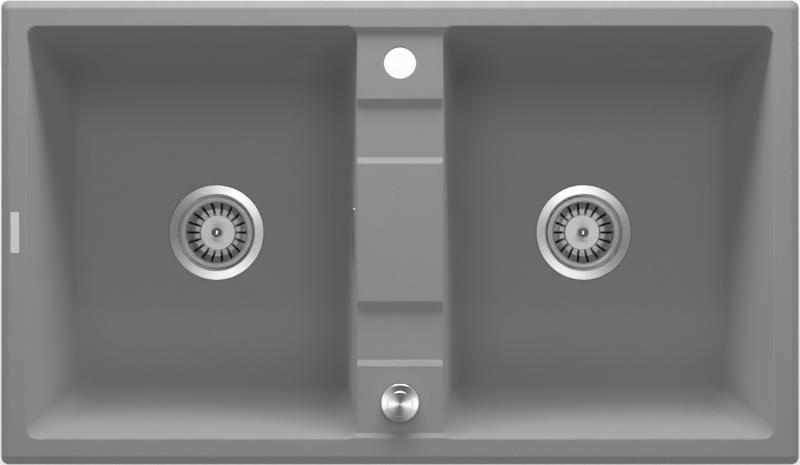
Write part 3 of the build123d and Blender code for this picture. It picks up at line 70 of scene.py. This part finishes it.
# %% Camera straight above the sink
CAMERA_HEIGHT = 1.709
CAMERA_LENS = 71.2
SENSOR_WIDTH = 36.0
NEAREST_SEEN, FURTHEST_SEEN = 0.05, 50.0
camera_data = bpy.data.cameras.new("overhead_camera")
camera_data.lens = CAMERA_LENS
camera_data.sensor_width = SENSOR_WIDTH
camera_data.clip_start, camera_data.clip_end = NEAREST_SEEN, FURTHEST_SEEN
camera = bpy.data.objects.new("overhead_camera", camera_data)
camera.location = (0.0, 0.0, CAMERA_HEIGHT)
scene.collection.objects.link(camera)
scene.camera = camera
scene.view_settings.view_transform = "Standard"
print("camera at", tuple(camera.location), "with a lens of", CAMERA_LENS, "mm")

# %% [markdown]
# ## The light
# Two soft windows stand low behind the sink, so the slopes that face the back are bright and the
# ones that face the front are dark. Two slanting panels, at the back and at the front, light the
# bowls' walls and show as two bright fans in the turned steel. A panel overhead fills the bowls,
# but metal doesn't mirror it: it would turn every flat steel face an even white.


# %% Soft lamps
def soft_lamp(name, place, aim, size, power):
    """A rectangular studio lamp at a place, turned towards a point."""
    lamp_data = bpy.data.lights.new(name, "AREA")
    lamp_data.shape = "RECTANGLE"
    lamp_data.size, lamp_data.size_y = size
    lamp_data.energy = power
    lamp = bpy.data.objects.new(name, lamp_data)
    lamp.location = place
    lamp.rotation_euler = (Vector(aim) - Vector(place)).to_track_quat("-Z", "Y").to_euler()
    scene.collection.objects.link(lamp)
    print(name, "of", power, "W at", place)
    return lamp


CENTRE = (0.0, 0.0, 0.0)
# Each lamp's name, place, width and height, power in watts, and whether metal mirrors it
LAMPS = [
    ("near_window", (0.0, 1.1, 0.36), (1.2, 0.4), 13.9, True),
    ("far_window", (0.0, 1.5, 0.42), (1.6, 0.5), 13.4, True),
    ("back_panel", (0.20, 1.0, 2.2), (1.7, 0.7), 12.5, True),
    ("front_panel", (-0.10, -1.05, 2.1), (1.7, 0.6), 10.0, True),
    ("overhead_panel", (0.0, 0.1, 2.4), (1.6, 1.2), 12.6, False),
]
for lamp_name, lamp_place, lamp_size, watts, mirrored in LAMPS:
    soft_lamp(lamp_name, lamp_place, CENTRE, lamp_size, watts).visible_glossy = mirrored

# %% [markdown]
# ## Writing shader maths as sums
# A material is a web of nodes, and maths done in nodes is hard to read. This class wraps one
# output socket, so that `1 - mask * 0.3` adds the Math nodes by itself.


# %% One class for shader values
def find(sockets, name):
    """The socket with that identifier, or else that name."""
    exact = [socket for socket in sockets if socket.identifier == name]
    return (exact or [socket for socket in sockets if socket.name == name])[0]


def plug(tree, socket, value):
    """Link a shader value into a socket, or write a plain number or colour there."""
    if isinstance(value, ShaderValue):
        tree.links.new(value.socket, socket)
    else:
        socket.default_value = value


class ShaderValue:
    """One output socket of a material's web, usable in sums."""

    def __init__(self, tree, socket):
        self.tree, self.socket = tree, socket

    def maths(self, operation, first, second):
        node = self.tree.nodes.new("ShaderNodeMath")
        node.operation = operation
        plug(self.tree, node.inputs[0], first)
        plug(self.tree, node.inputs[1], second)
        return ShaderValue(self.tree, node.outputs[0])

    def __add__(self, other):
        return self.maths("ADD", self, other)

    def __radd__(self, other):
        return self.maths("ADD", other, self)

    def __sub__(self, other):
        return self.maths("SUBTRACT", self, other)

    def __rsub__(self, other):
        return self.maths("SUBTRACT", other, self)

    def __mul__(self, other):
        return self.maths("MULTIPLY", self, other)

    def __rmul__(self, other):
        return self.maths("MULTIPLY", other, self)

    def __gt__(self, other):
        return self.maths("GREATER_THAN", self, other)

    def __abs__(self):
        return self.maths("ABSOLUTE", self, 0.0)

    def __mod__(self, other):
        return self.maths("FLOORED_MODULO", self, other)


print("shader values can be added, multiplied and compared")

# %% [markdown]
# ## One class for finishes
# A finish is a material on one Principled shader. What never varies is written on the shader's own
# sockets. The rest comes from one method that adds a node: its type, its settings, its sockets.


# %% Finish
class Finish:
    """A material in the making, built on one Principled shader."""

    def __init__(self, name, **constants):
        self.material = bpy.data.materials.new(name)
        self.material.use_nodes = True
        self.tree = self.material.node_tree
        self.shader = self.tree.nodes["Principled BSDF"]
        for socket, value in constants.items():
            self.shader.inputs[socket.replace("_", " ")].default_value = value

    def node(self, kind, settings=None, values=None, output=0):
        """Add a node: its type, its settings, then its sockets' values or links."""
        node = self.tree.nodes.new("ShaderNode" + kind)
        for setting, value in (settings or {}).items():
            setattr(node, setting, value)
        for socket, value in (values or {}).items():
            plug(self.tree, find(node.inputs, socket), value)
        picked = node.outputs[0] if output == 0 else find(node.outputs, output)
        return ShaderValue(self.tree, picked)

    def place(self, stretch=(1.0, 1.0, 1.0), start=(0.0, 0.0, 0.0)):
        """Where a point of the surface is, in metres from a start, stretched along each axis."""
        values = {"Vector": self.node("TexCoord", output="Object"), "Vector_001": start}
        moved = self.node("VectorMath", {"operation": "SUBTRACT"}, values)
        values = {"Vector": moved, "Vector_001": stretch}
        return self.node("VectorMath", {"operation": "MULTIPLY"}, values)

    def axis(self, vector, letter):
        """One of the three numbers of a vector."""
        return self.node("SeparateXYZ", None, {"Vector": vector}, letter)

    def facing_up(self):
        """1 where the surface faces straight up, 0 where it is upright, -1 where it faces down."""
        return self.axis(self.node("NewGeometry", output="Normal"), "Z")

    def length(self, vector):
        """How long a vector is."""
        return self.node("VectorMath", {"operation": "LENGTH"}, {"Vector": vector}, "Value")

    def noise(self, size, detail=2.0, place=None):
        """Cloudy variation between 0 and 1, with blots of about the given size in metres."""
        values = {"Vector": place or self.place(), "Scale": 1.0 / size, "Detail": detail}
        return self.node("TexNoise", None, values, "Fac")

    def step(self, value, low, high):
        """0 below the low value, 1 above the high one, and smooth in between."""
        settings = {"interpolation_type": "SMOOTHSTEP"}
        return self.node("MapRange", settings, {"Value": value, "From Min": low, "From Max": high})

    def colour(self, red, green, blue):
        """A colour from three worked-out numbers."""
        return self.node("CombineColor", None, {"Red": red, "Green": green, "Blue": blue})

    def blend(self, share, first, second):
        """One colour or another by a share from 0 to 1."""
        values = {"Factor_Float": share, "A_Color": first, "B_Color": second}
        return self.node("Mix", {"data_type": "RGBA"}, values, "Result_Color")

    def bump(self, height, distance, strength=1.0, under=None):
        """Relief: a height of 0 to 1 that stands the given distance proud, in metres."""
        values = {"Height": height, "Distance": distance, "Strength": strength}
        if under is not None:
            values["Normal"] = under
        return self.node("Bump", None, values)

    def surface(self, **sockets):
        """Feed the shader's sockets with the values worked out."""
        for socket, value in sockets.items():
            plug(self.tree, self.shader.inputs[socket.replace("_", " ")], value)
        return self


def grey(level):
    """A neutral colour of that linear level."""
    return (level, level, level, 1.0)


def dress(finish, *names):
    """Give a finish to CAD nodes."""
    for name in names:
        for slot in nodes[name].material_slots:
            slot.material = finish.material
    print(finish.material.name, "on", ", ".join(names))


print("finishes can be made")

# %% [markdown]
# ## The sky
# The background is white because the floor and the sky look white to the camera, and to metal
# that mirrors them, not because more light is poured on the sink. Light Path tells which ray
# asks, and only camera, mirror and see-through rays get the white. It fades towards the zenith,
# which leaves flat steel something dark to mirror.

# %% Sky
SKY_LEVEL = 0.06
HORIZON_WHITE, ZENITH_DARK = 1.0, 0.08
FADE_LOW, FADE_HIGH = 0.10, 0.40


def seen_directly(tree):
    """1 for camera, mirror and see-through rays, and 0 for the rays that bring light."""
    path = tree.nodes.new("ShaderNodeLightPath")
    camera_ray = ShaderValue(tree, path.outputs["Is Camera Ray"])
    glossy_ray = ShaderValue(tree, path.outputs["Is Glossy Ray"])
    return camera_ray + glossy_ray + ShaderValue(tree, path.outputs["Is Transmission Ray"])


world = bpy.data.worlds.new("studio_sky")
scene.world = world
world.use_nodes = True
sky = world.node_tree
sky_seen = seen_directly(sky)
sky_direction = sky.nodes.new("ShaderNodeTexCoord")
sky_split = sky.nodes.new("ShaderNodeSeparateXYZ")
sky.links.new(sky_direction.outputs["Generated"], sky_split.inputs[0])
sky_ramp = sky.nodes.new("ShaderNodeMapRange")
sky_ramp.interpolation_type = "SMOOTHSTEP"
sky.links.new(sky_split.outputs["Z"], sky_ramp.inputs["Value"])
sky_ramp.inputs["From Min"].default_value = FADE_LOW
sky_ramp.inputs["From Max"].default_value = FADE_HIGH
sky_ramp.inputs["To Min"].default_value = HORIZON_WHITE
sky_ramp.inputs["To Max"].default_value = ZENITH_DARK
sky_white = ShaderValue(sky, sky_ramp.outputs[0])
sky_strength = SKY_LEVEL + sky_seen * (sky_white - SKY_LEVEL)
plug(sky, sky.nodes["Background"].inputs["Strength"], sky_strength)
sky.nodes["Background"].inputs["Color"].default_value = grey(1.0)
print("sky: level", SKY_LEVEL, "on the sink, white to the camera")

# %% [markdown]
# ## The floor
# White paper lies just under the lowest pipe. To the camera it glows a little by itself, so that
# it looks white, and it still takes the sink's shadow.


# %% Floor
FLOOR_HALF_SIZE = 12.0
FLOOR_GAP = 0.0005
FLOOR_CELLS = 24
PAPER_GLOW = 0.62


def make_floor(half_size, height):
    """A large square floor, finely gridded so that it is one sheet with real faces."""
    sheet = bmesh.new()
    bmesh.ops.create_grid(sheet, x_segments=FLOOR_CELLS, y_segments=FLOOR_CELLS, size=half_size)
    mesh = bpy.data.meshes.new("studio_floor")
    sheet.to_mesh(mesh)
    sheet.free()
    floor = bpy.data.objects.new("studio_floor", mesh)
    floor.location.z = height
    scene.collection.objects.link(floor)
    return floor


floor = make_floor(FLOOR_HALF_SIZE, cad_box[0].z - FLOOR_GAP)
paper = Finish("studio_paper", Roughness=0.9)
paper.surface(Base_Color=paper.blend(paper.noise(0.4), grey(0.80), grey(0.84)))
paper_glow = paper.node("Emission", None, {"Color": grey(1.0), "Strength": 1.0})
paper_matt = ShaderValue(paper.tree, paper.shader.outputs[0])
paper_share = seen_directly(paper.tree) * PAPER_GLOW
paper_parts = {"Fac": paper_share, "Shader": paper_matt, "Shader_001": paper_glow}
paper_mix = paper.node("MixShader", None, paper_parts)
plug(paper.tree, paper.tree.nodes["Material Output"].inputs["Surface"], paper_mix)
floor.data.materials.append(paper.material)
print("floor at", round(floor.location.z, 4))

# %% [markdown]
# ## Lines for the hose and the cable
# Both follow a smooth NURBS curve through few points. The curve gives evenly worked-out points,
# and from those the distance and the direction at any place along the way.


# %% A curve from a few points
def smooth_line(name, points):
    """A NURBS line that follows its points from the first to the last."""
    data = bpy.data.curves.new(name, "CURVE")
    data.dimensions = "3D"
    spline = data.splines.new("NURBS")
    spline.points.add(len(points) - 1)
    for point, place in zip(spline.points, points):
        point.co = (*place, 1.0)
    spline.order_u = 3
    spline.use_endpoint_u = True
    spline.resolution_u = 24
    line = bpy.data.objects.new(name, data)
    scene.collection.objects.link(line)
    return line


def points_along(line):
    """The points that Blender works out along a line with no thickness."""
    bpy.context.view_layer.update()
    mesh = bpy.data.meshes.new_from_object(line)
    found = [vertex.co.copy() for vertex in mesh.vertices]
    bpy.data.meshes.remove(mesh)
    return found


def measured(path):
    """Distance from the start to each point of a path."""
    run = [0.0]
    for before, after in zip(path, path[1:]):
        run.append(run[-1] + (after - before).length)
    return run


def at_distance(path, run, distance):
    """Place and direction on a path at a distance from its start."""
    index = 1
    while index < len(run) - 1 and run[index] < distance:
        index += 1
    share = (distance - run[index - 1]) / (run[index] - run[index - 1])
    place = path[index - 1].lerp(path[index], share)
    before = path[max(index - 2, 0)]
    after = path[min(index + 1, len(path) - 1)]
    return place, (after - before).normalized()


print("lines can be drawn and measured")

# %% [markdown]
# ## The overflow hose
# A ribbed plastic hose runs from behind the overflow down to the left waste. Its skin is made by
# hand: rings of points whose radius swells and shrinks along the way, with plain cuffs at both
# ends where it pushes on its spigots, and back again through the bore.

# %% Skin of the ribbed hose
HOSE_ROUTE = [(-0.027, 0.020, -0.066), (-0.027, 0.020, -0.1949),
              (-0.0791, 0.020, -0.247), (-0.1762, 0.020, -0.247)]
HOSE_CUFF, HOSE_RIB_PITCH = 0.024, 0.0051
HOSE_ROOT, HOSE_CREST, HOSE_BORE = 0.0104, 0.0120, 0.0091
RIB_STEPS, RIB_FULLNESS, BORE_STEPS, AROUND = 8, 0.6, 48, 40
# Distance from the hose's end and radius there: a broken edge, a bead and the plain cuff
CUFF_BEAD = [(0.0, HOSE_ROOT - 0.0004), (0.0006, HOSE_ROOT), (0.0030, HOSE_ROOT),
             (0.0042, HOSE_ROOT + 0.0005), (0.0056, HOSE_ROOT + 0.0005),
             (0.0068, HOSE_ROOT), (HOSE_CUFF * 0.95, HOSE_ROOT)]


def hose_profile(length):
    """Distances along the hose and its radius at each: cuff, ribs, cuff."""
    ribs = round((length - 2 * HOSE_CUFF) / HOSE_RIB_PITCH)
    pitch = (length - 2 * HOSE_CUFF) / ribs
    middle = []
    for step in range(ribs * RIB_STEPS + 1):
        swell = 0.5 - 0.5 * math.cos(2 * math.pi * step / RIB_STEPS)
        radius = HOSE_ROOT + (HOSE_CREST - HOSE_ROOT) * swell ** RIB_FULLNESS
        middle.append((HOSE_CUFF + step * pitch / RIB_STEPS, radius))
    far_cuff = [(length - distance, radius) for distance, radius in reversed(CUFF_BEAD)]
    print("hose: length", round(length, 4), "with", ribs, "ribs")
    return CUFF_BEAD + middle + far_cuff


def make_hose():
    """The hose as one closed skin, and the points that its middle follows."""
    line = smooth_line("hose_line", HOSE_ROUTE)
    path = points_along(line)
    bpy.data.objects.remove(line)
    run = measured(path)
    steady = Vector((0.0, 1.0, 0.0))
    skin = bmesh.new()
    rings = []
    bore = [(run[-1] * (1.0 - step / BORE_STEPS), HOSE_BORE) for step in range(BORE_STEPS + 1)]
    for distance, radius in hose_profile(run[-1]) + bore:
        place, along = at_distance(path, run, distance)
        side = along.cross(steady).normalized()
        ring = []
        for step in range(AROUND):
            turn = 2 * math.pi * step / AROUND
            outward = math.cos(turn) * steady + math.sin(turn) * side
            ring.append(skin.verts.new(place + radius * outward))
        rings.append(ring)
    for first, second in zip(rings, rings[1:] + rings[:1]):
        for step in range(AROUND):
            after = (step + 1) % AROUND
            skin.faces.new((first[step], first[after], second[after], second[step]))
    bmesh.ops.recalc_face_normals(skin, faces=skin.faces)
    mesh = bpy.data.meshes.new("overflow_hose_skin")
    skin.to_mesh(mesh)
    skin.free()
    mesh.shade_smooth()
    hose = bpy.data.objects.new("overflow_hose_skin", mesh)
    scene.collection.objects.link(hose)
    return hose, path


hose, hose_path = make_hose()
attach(hose, "sink")
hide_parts("overflow_hose")
print("hose skin:", len(hose.data.vertices), "points")

# %% [markdown]
# ## The control cable
# The knob works the left waste through a thin sheathed cable. A cable is one curve with a round
# bevel: cheap, smooth from any side, and easy to reroute by moving one of its points. Each point
# carries its own radius here, because Blender counts that radius in the size of the curve's box.

# %% Control cable
CABLE_RADIUS = 0.003
CABLE_ROUTE = [(-0.008, -0.155, -0.0198), (-0.008, -0.103, -0.0198), (-0.012, -0.081, -0.0798),
               (-0.024, -0.071, -0.1498), (-0.052, -0.067, -0.2178), (-0.113, -0.064, -0.277),
               (-0.160, -0.063, -0.289), (-0.205, -0.063, -0.289)]
cable = smooth_line("control_cable_sheath", CABLE_ROUTE)
cable.data.bevel_depth = 1.0
for point in cable.data.splines[0].points:
    point.radius = CABLE_RADIUS
cable.data.bevel_resolution = 6
cable.data.use_fill_caps = True
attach(cable, "sink")
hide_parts("control_cable")
print("cable through", len(CABLE_ROUTE), "points")

# %% [markdown]
# ## The stone composite
# The sink is crushed stone bound in resin: grey, matt and very finely grained, with sparse pale
# flecks of mica and a few dark ones. Noise gives the grain, and Voronoi cells scatter the flecks,
# one per cell and only in some cells. Underneath, the moulding is left rough and a little darker.

# %% Composite
STONE_COLOUR = (0.300, 0.301, 0.303)
# Size of a cell, size of a fleck in it, and the share of cells that have one
PALE_FLECKS, PALE_GREY = (0.0060, 0.00062, 0.30), grey(0.50)
DARK_FLECKS, DARK_GREY = (0.0085, 0.00055, 0.22), grey(0.13)
FACING_DOWN, BELOW_RIM = (0.03, 0.07), (0.0, 0.004)


def flecks(finish, cell, size, share):
    """Scattered dots: one in some of the cells of a Voronoi pattern, as a mask from 0 to 1."""
    values = {"Vector": finish.place(), "Scale": 1.0 / cell}
    distance = finish.node("TexVoronoi", {"feature": "F1"}, values, "Distance")
    lottery = finish.node("TexVoronoi", {"feature": "F1"}, values, "Color")
    chosen = finish.node("SeparateColor", None, {"Color": lottery}, "Red") > 1.0 - share
    return finish.step(size / cell - distance, 0.0, 0.4 * size / cell) * chosen


def make_composite():
    """Grey stone with grain, clouds and flecks, and a rough underside."""
    stone = Finish("stone_composite", Specular_IOR_Level=0.35, Diffuse_Roughness=0.8,
                   Sheen_Weight=0.06, Sheen_Roughness=0.5)
    grain = stone.noise(0.0011, 3.0)
    cloud = stone.noise(0.03, 3.0)
    fine = stone.noise(0.00045, 1.0)
    facing_down = stone.step(-1.0 * stone.facing_up(), *FACING_DOWN)
    below = facing_down * stone.step(-1.0 * stone.axis(stone.place(), "Z"), *BELOW_RIM)
    tone = (0.91 + 0.12 * grain + 0.05 * cloud) * (1.0 - 0.14 * below)
    shade = stone.colour(*[tone * level for level in STONE_COLOUR])
    shade = stone.blend(flecks(stone, *PALE_FLECKS), shade, PALE_GREY)
    shade = stone.blend(flecks(stone, *DARK_FLECKS), shade, DARK_GREY)
    relief = stone.bump(grain * 0.7 + fine * 0.3, 0.00006, 0.6)
    rough_back = stone.bump(stone.noise(0.004, 4.0) * below, 0.0006, 0.8, relief)
    roughness = 0.60 + 0.10 * grain + 0.15 * below
    stone.surface(Base_Color=shade, Roughness=roughness, Normal=rough_back)
    return stone


dress(make_composite(), "sink_body")

# %% [markdown]
# ## Brushed and turned steel
# Brushing leaves fine strokes in one direction, and a lathe leaves fine circles round an axis.
# Both are noise, stretched along the strokes or worked out from the distance to the axis. The
# smudges are a second, larger noise, and the faint relief catches the light.

# %% Plain steels
STEEL_BLUE = 0.985
STRAINER_X = 0.2205
KNOB_CENTRE = (0.0, -0.183, 0.0)


def steel_grey(steel, tone):
    """A steel tone as a colour, a shade warmer than neutral."""
    return steel.colour(tone, tone, tone * STEEL_BLUE)


def circles(steel, centre, pitch):
    """Distance from an upright axis, and fine lathe lines round it."""
    out = steel.length(steel.place((1.0, 1.0, 0.0), centre))
    values = {"W": out, "Scale": 1.0 / pitch, "Detail": 2.0}
    return out, steel.node("TexNoise", {"noise_dimensions": "1D"}, values, "Fac")


def turned_steel(name, centre, level, roughness, pitch):
    """Steel with fine circles round an upright axis, such as a lathe leaves."""
    steel = Finish(name, Metallic=1.0)
    lines = circles(steel, centre, pitch)[1]
    smudge = steel.noise(0.012, 3.0)
    tone = 0.92 + 0.10 * lines + 0.06 * smudge
    steel.surface(Base_Color=steel_grey(steel, tone * level),
                  Roughness=roughness + 0.08 * lines + 0.05 * smudge,
                  Normal=steel.bump(lines, 0.000012, 0.5))
    return steel


def plate_steel(name, level, roughness, along=(1.0, 0.02, 1.0), fine=0.0004):
    """Sheet steel brushed in one direction."""
    steel = Finish(name, Metallic=1.0)
    strokes = steel.noise(fine, 2.0, steel.place(along))
    smudge = steel.noise(0.010, 3.0)
    tone = 0.90 + 0.14 * strokes + 0.05 * smudge
    steel.surface(Base_Color=steel_grey(steel, tone * level),
                  Roughness=roughness + 0.10 * strokes + 0.05 * smudge,
                  Normal=steel.bump(strokes, 0.00001, 0.5))
    return steel


CLIPS = [name for name in nodes
         if name.startswith("clip_") and name not in ("clip_screws", "clip_inserts")]
dress(turned_steel("shaft_steel", KNOB_CENTRE, 0.55, 0.25, 0.0004), "knob_shaft")
dress(plate_steel("badge_steel", 0.95, 0.50), "badge_plate")
dress(plate_steel("overflow_steel", 0.62, 0.24, (1.0, 0.03, 1.0)), "overflow_cover")
dress(plate_steel("screw_steel", 0.78, 0.16, (1.0, 1.0, 0.1), 0.0006), "overflow_screws")
dress(plate_steel("clip_steel", 0.60, 0.34, (0.3, 0.3, 1.0), 0.0010), *CLIPS)
dress(plate_steel("rod_steel", 0.62, 0.22, (1.0, 1.0, 0.04), 0.0006),
      "lift_rod", "cam_shaft", "pull_wire")
dress(plate_steel("clamp_steel", 0.66, 0.22, (1.0, 1.0, 0.05), 0.0005),
      "hose_clamps", "cable_ferrules")

# %% [markdown]
# ## The strainers
# The ring in each bowl's floor is satin and slightly domed, with painted shade and more roughness
# inside its neck. The basket in it is bright, with a satin disc in the middle and painted shade
# along its slots. Rings at known distances from the axis mark off these parts, and the angle round
# it finds the slots.

# %% Flanges and baskets
# Depth below the rim at which the neck begins, and distances from the strainer's axis
NECK_DEPTH = (0.199, 0.206)
FLANGE_TOP_FROM = (0.0445, 0.0460)
DISC_EDGE, FOOT_EDGE, RIM_EDGE = (0.0203, 0.0208), (0.0283, 0.0290), (0.0360, 0.0370)
SLOT_START, SLOT_END = (0.0224, 0.0229), (0.0354, 0.0360)
SLOT_HALF_WIDTH = (0.0011, 0.0016)
SLOT_STEP = math.radians(20.0)


def flange_steel(name, centre):
    """Pressed ring: satin and slightly domed on top, with painted shade and more roughness inside
    the neck.
    """
    steel = Finish(name, Metallic=1.0)
    out, lines = circles(steel, centre, 0.0005)
    smudge = steel.noise(0.012, 3.0)
    # Painted shade: below this depth the neck is painted dark, where the basket hides the light.
    painted_neck_shade = steel.step(-1.0 * steel.axis(steel.place(), "Z"), *NECK_DEPTH)
    dome = steel.bump(-1.0 * out * steel.step(out, *FLANGE_TOP_FROM), 0.10)
    tone = (0.84 + 0.10 * lines + 0.06 * smudge) * (1.0 - 0.90 * painted_neck_shade)
    steel.surface(Base_Color=steel_grey(steel, tone),
                  Roughness=0.36 + 0.06 * lines + 0.05 * smudge + 0.2 * painted_neck_shade,
                  Normal=steel.bump(lines, 0.000012, 0.5, dome))
    return steel


def basket_steel(name, centre):
    """Strainer basket: bright pressed bowl, satin disc, and painted shade along its slots."""
    steel = Finish(name, Metallic=1.0)
    out, lines = circles(steel, centre, 0.0007)
    smudge = steel.noise(0.010, 3.0)
    across = steel.axis(steel.place(start=centre), "X")
    along = steel.axis(steel.place(start=centre), "Y")
    turn = along.maths("ARCTAN2", along, across)
    aside = (turn + 0.5 * SLOT_STEP) % SLOT_STEP - 0.5 * SLOT_STEP
    # Painted shade: the steel along each slot is painted almost black, as the shadow in the slot.
    painted_slot_shade = (1.0 - steel.step(abs(aside * out), *SLOT_HALF_WIDTH)) * steel.step(out, *SLOT_START)
    painted_slot_shade = painted_slot_shade * (1.0 - steel.step(out, *SLOT_END))
    disc = 1.0 - steel.step(out, *DISC_EDGE)
    foot = 1.0 - steel.step(out, *FOOT_EDGE)
    rim = steel.step(out, *RIM_EDGE)
    tone = 0.62 + 0.08 * lines + 0.06 * smudge + 0.10 * disc + 0.16 * foot + 0.30 * rim
    roughness = 0.17 + 0.14 * disc + 0.13 * foot + 0.08 * rim + 0.05 * lines + 0.05 * smudge
    steel.surface(Base_Color=steel_grey(steel, tone * (1.0 - 0.92 * painted_slot_shade)), Roughness=roughness,
                  Normal=steel.bump(lines, 0.000003, 0.5))
    return steel


for side, x in (("left", -STRAINER_X), ("right", STRAINER_X)):
    centre = (x, 0.0, 0.0)
    dress(flange_steel(f"{side}_flange_steel", centre), f"{side}_strainer_flange")
    dress(basket_steel(f"{side}_basket_steel", centre), f"{side}_basket")
    dress(turned_steel(f"{side}_pull_steel", centre, 0.82, 0.12, 0.0003), f"{side}_basket_knob")

# %% [markdown]
# ## The knob
# The knob and its ring are turned on a lathe, which leaves circles so fine that the light splits
# into two bright fans: that is anisotropy, a constant of the shader, and not a picture. Faces that
# point up are satin, and the edges between them are polished and painted darker, as painted shade.

# %% Turned knob
FLAT_FACING = (0.90, 0.97)


def knob_steel(name, centre):
    """Turned knob: its flat faces split the light into fans, its edges are polished and painted
    darker as shade.
    """
    steel = Finish(name, Metallic=1.0, Anisotropic=1.0)
    lines = circles(steel, centre, 0.00025)[1]
    satin_flats_painted_lighter = steel.step(steel.facing_up(), *FLAT_FACING)
    # Painted shade: the edges and sides are painted darker than the flat faces that point up.
    tone = (0.55 + 0.40 * satin_flats_painted_lighter) * (0.90 + 0.14 * lines)
    steel.surface(Base_Color=steel_grey(steel, tone),
                  Roughness=0.12 + 0.32 * satin_flats_painted_lighter + 0.04 * lines,
                  Normal=steel.bump(lines, 0.000010, 0.5))
    return steel


dress(knob_steel("turned_knob_steel", KNOB_CENTRE), "control_knob", "knob_rosette")

# %% [markdown]
# ## Zinc plated screws and brass inserts
# Bright zinc has a faint bluish and yellowish drift in its plating. Brass is yellow all through,
# and drifts between a lighter and a duller yellow.

# %% Plated screws and brass
ZINC_BLUISH, ZINC_YELLOWISH = (0.60, 0.61, 0.63, 1.0), (0.66, 0.64, 0.56, 1.0)
BRASS_BRIGHT, BRASS_DULL = (0.62, 0.46, 0.20, 1.0), (0.52, 0.37, 0.15, 1.0)


def plated(name, first, second, roughness, blot):
    """A metal surface that drifts between two tints."""
    metal = Finish(name, Metallic=1.0)
    drift = metal.step(metal.noise(blot, 3.0), 0.35, 0.65)
    fine = metal.noise(0.0004, 2.0)
    metal.surface(Base_Color=metal.blend(drift, first, second),
                  Roughness=roughness + 0.12 * fine, Normal=metal.bump(fine, 0.00001, 0.5))
    return metal


dress(plated("zinc_screws", ZINC_BLUISH, ZINC_YELLOWISH, 0.28, 0.003), "clip_screws")
dress(plated("brass_inserts", BRASS_BRIGHT, BRASS_DULL, 0.30, 0.002), "clip_inserts")

# %% [markdown]
# ## Plastics and rubber
# Moulded plastic is never quite even: it has a fine spark-eroded grain, faint clouds and a soft
# sheen. Rubber is darker and duller, with a bloom of pale dust.

# %% Plastics and rubber
PLASTIC_DRIFT = 0.08


def moulded(name, colour, roughness, grain=0.0006):
    """Moulded plastic with its fine mould grain and faint cloudiness."""
    plastic = Finish(name)
    fine = plastic.noise(grain, 3.0)
    cloud = plastic.noise(0.020, 3.0)
    darker = (*[level * (1.0 - PLASTIC_DRIFT) for level in colour], 1.0)
    lighter = (*[min(level * (1.0 + PLASTIC_DRIFT), 1.0) for level in colour], 1.0)
    plastic.surface(Base_Color=plastic.blend(0.6 * cloud + 0.4 * fine, darker, lighter),
                    Roughness=roughness + 0.12 * fine + 0.06 * cloud,
                    Normal=plastic.bump(fine, 0.00002, 0.6))
    return plastic


def rubber(name, level):
    """Black or grey rubber with a pale bloom."""
    skin = Finish(name, Specular_IOR_Level=0.3)
    bloom = skin.step(skin.noise(0.008, 4.0), 0.45, 0.75)
    fine = skin.noise(0.0005, 2.0)
    skin.surface(Base_Color=skin.blend(0.5 * bloom, grey(level), grey(level * 2.2)),
                 Roughness=0.62 + 0.15 * fine + 0.08 * bloom,
                 Normal=skin.bump(fine, 0.00003, 0.6))
    return skin


dress(moulded("waste_plastic", (0.80, 0.80, 0.79), 0.36),
      "left_waste_cup", "right_waste_cup", "overflow_head")
dress(moulded("pipe_plastic", (0.82, 0.82, 0.81), 0.30),
      "left_waste_pipe", "right_waste_pipe", "waste_tee")
dress(moulded("nut_plastic", (0.78, 0.78, 0.77), 0.40, 0.0009), "pipe_nuts")
dress(moulded("housing_plastic", (0.030, 0.031, 0.033), 0.42),
      "knob_housing", "housing_lid", "knob_washer")
dress(moulded("drum_plastic", (0.62, 0.62, 0.60), 0.34), "cable_drum")
dress(moulded("lever_plastic", (0.035, 0.036, 0.040), 0.38), "cam_lever")
dress(rubber("seal_rubber", 0.022), "left_flange_gasket", "right_flange_gasket",
      "left_cup_gasket", "right_cup_gasket", "left_basket_seal", "right_basket_seal",
      "pipe_washers", "overflow_gasket", "knob_gasket")
dress(rubber("rim_foam", 0.045), "rim_seal")

# %% [markdown]
# ## Plastics on the hose and the cable
# These two pieces were made here and not in CAD, so each gets its finish as its first material.

# %% Hose and cable plastics
hose_finish = moulded("hose_plastic", (0.70, 0.70, 0.69), 0.34, 0.0008)
hose.data.materials.append(hose_finish.material)
cable_finish = moulded("cable_sheath", (0.020, 0.020, 0.022), 0.46, 0.0005)
cable.data.materials.append(cable_finish.material)
print("hose and cable finished")
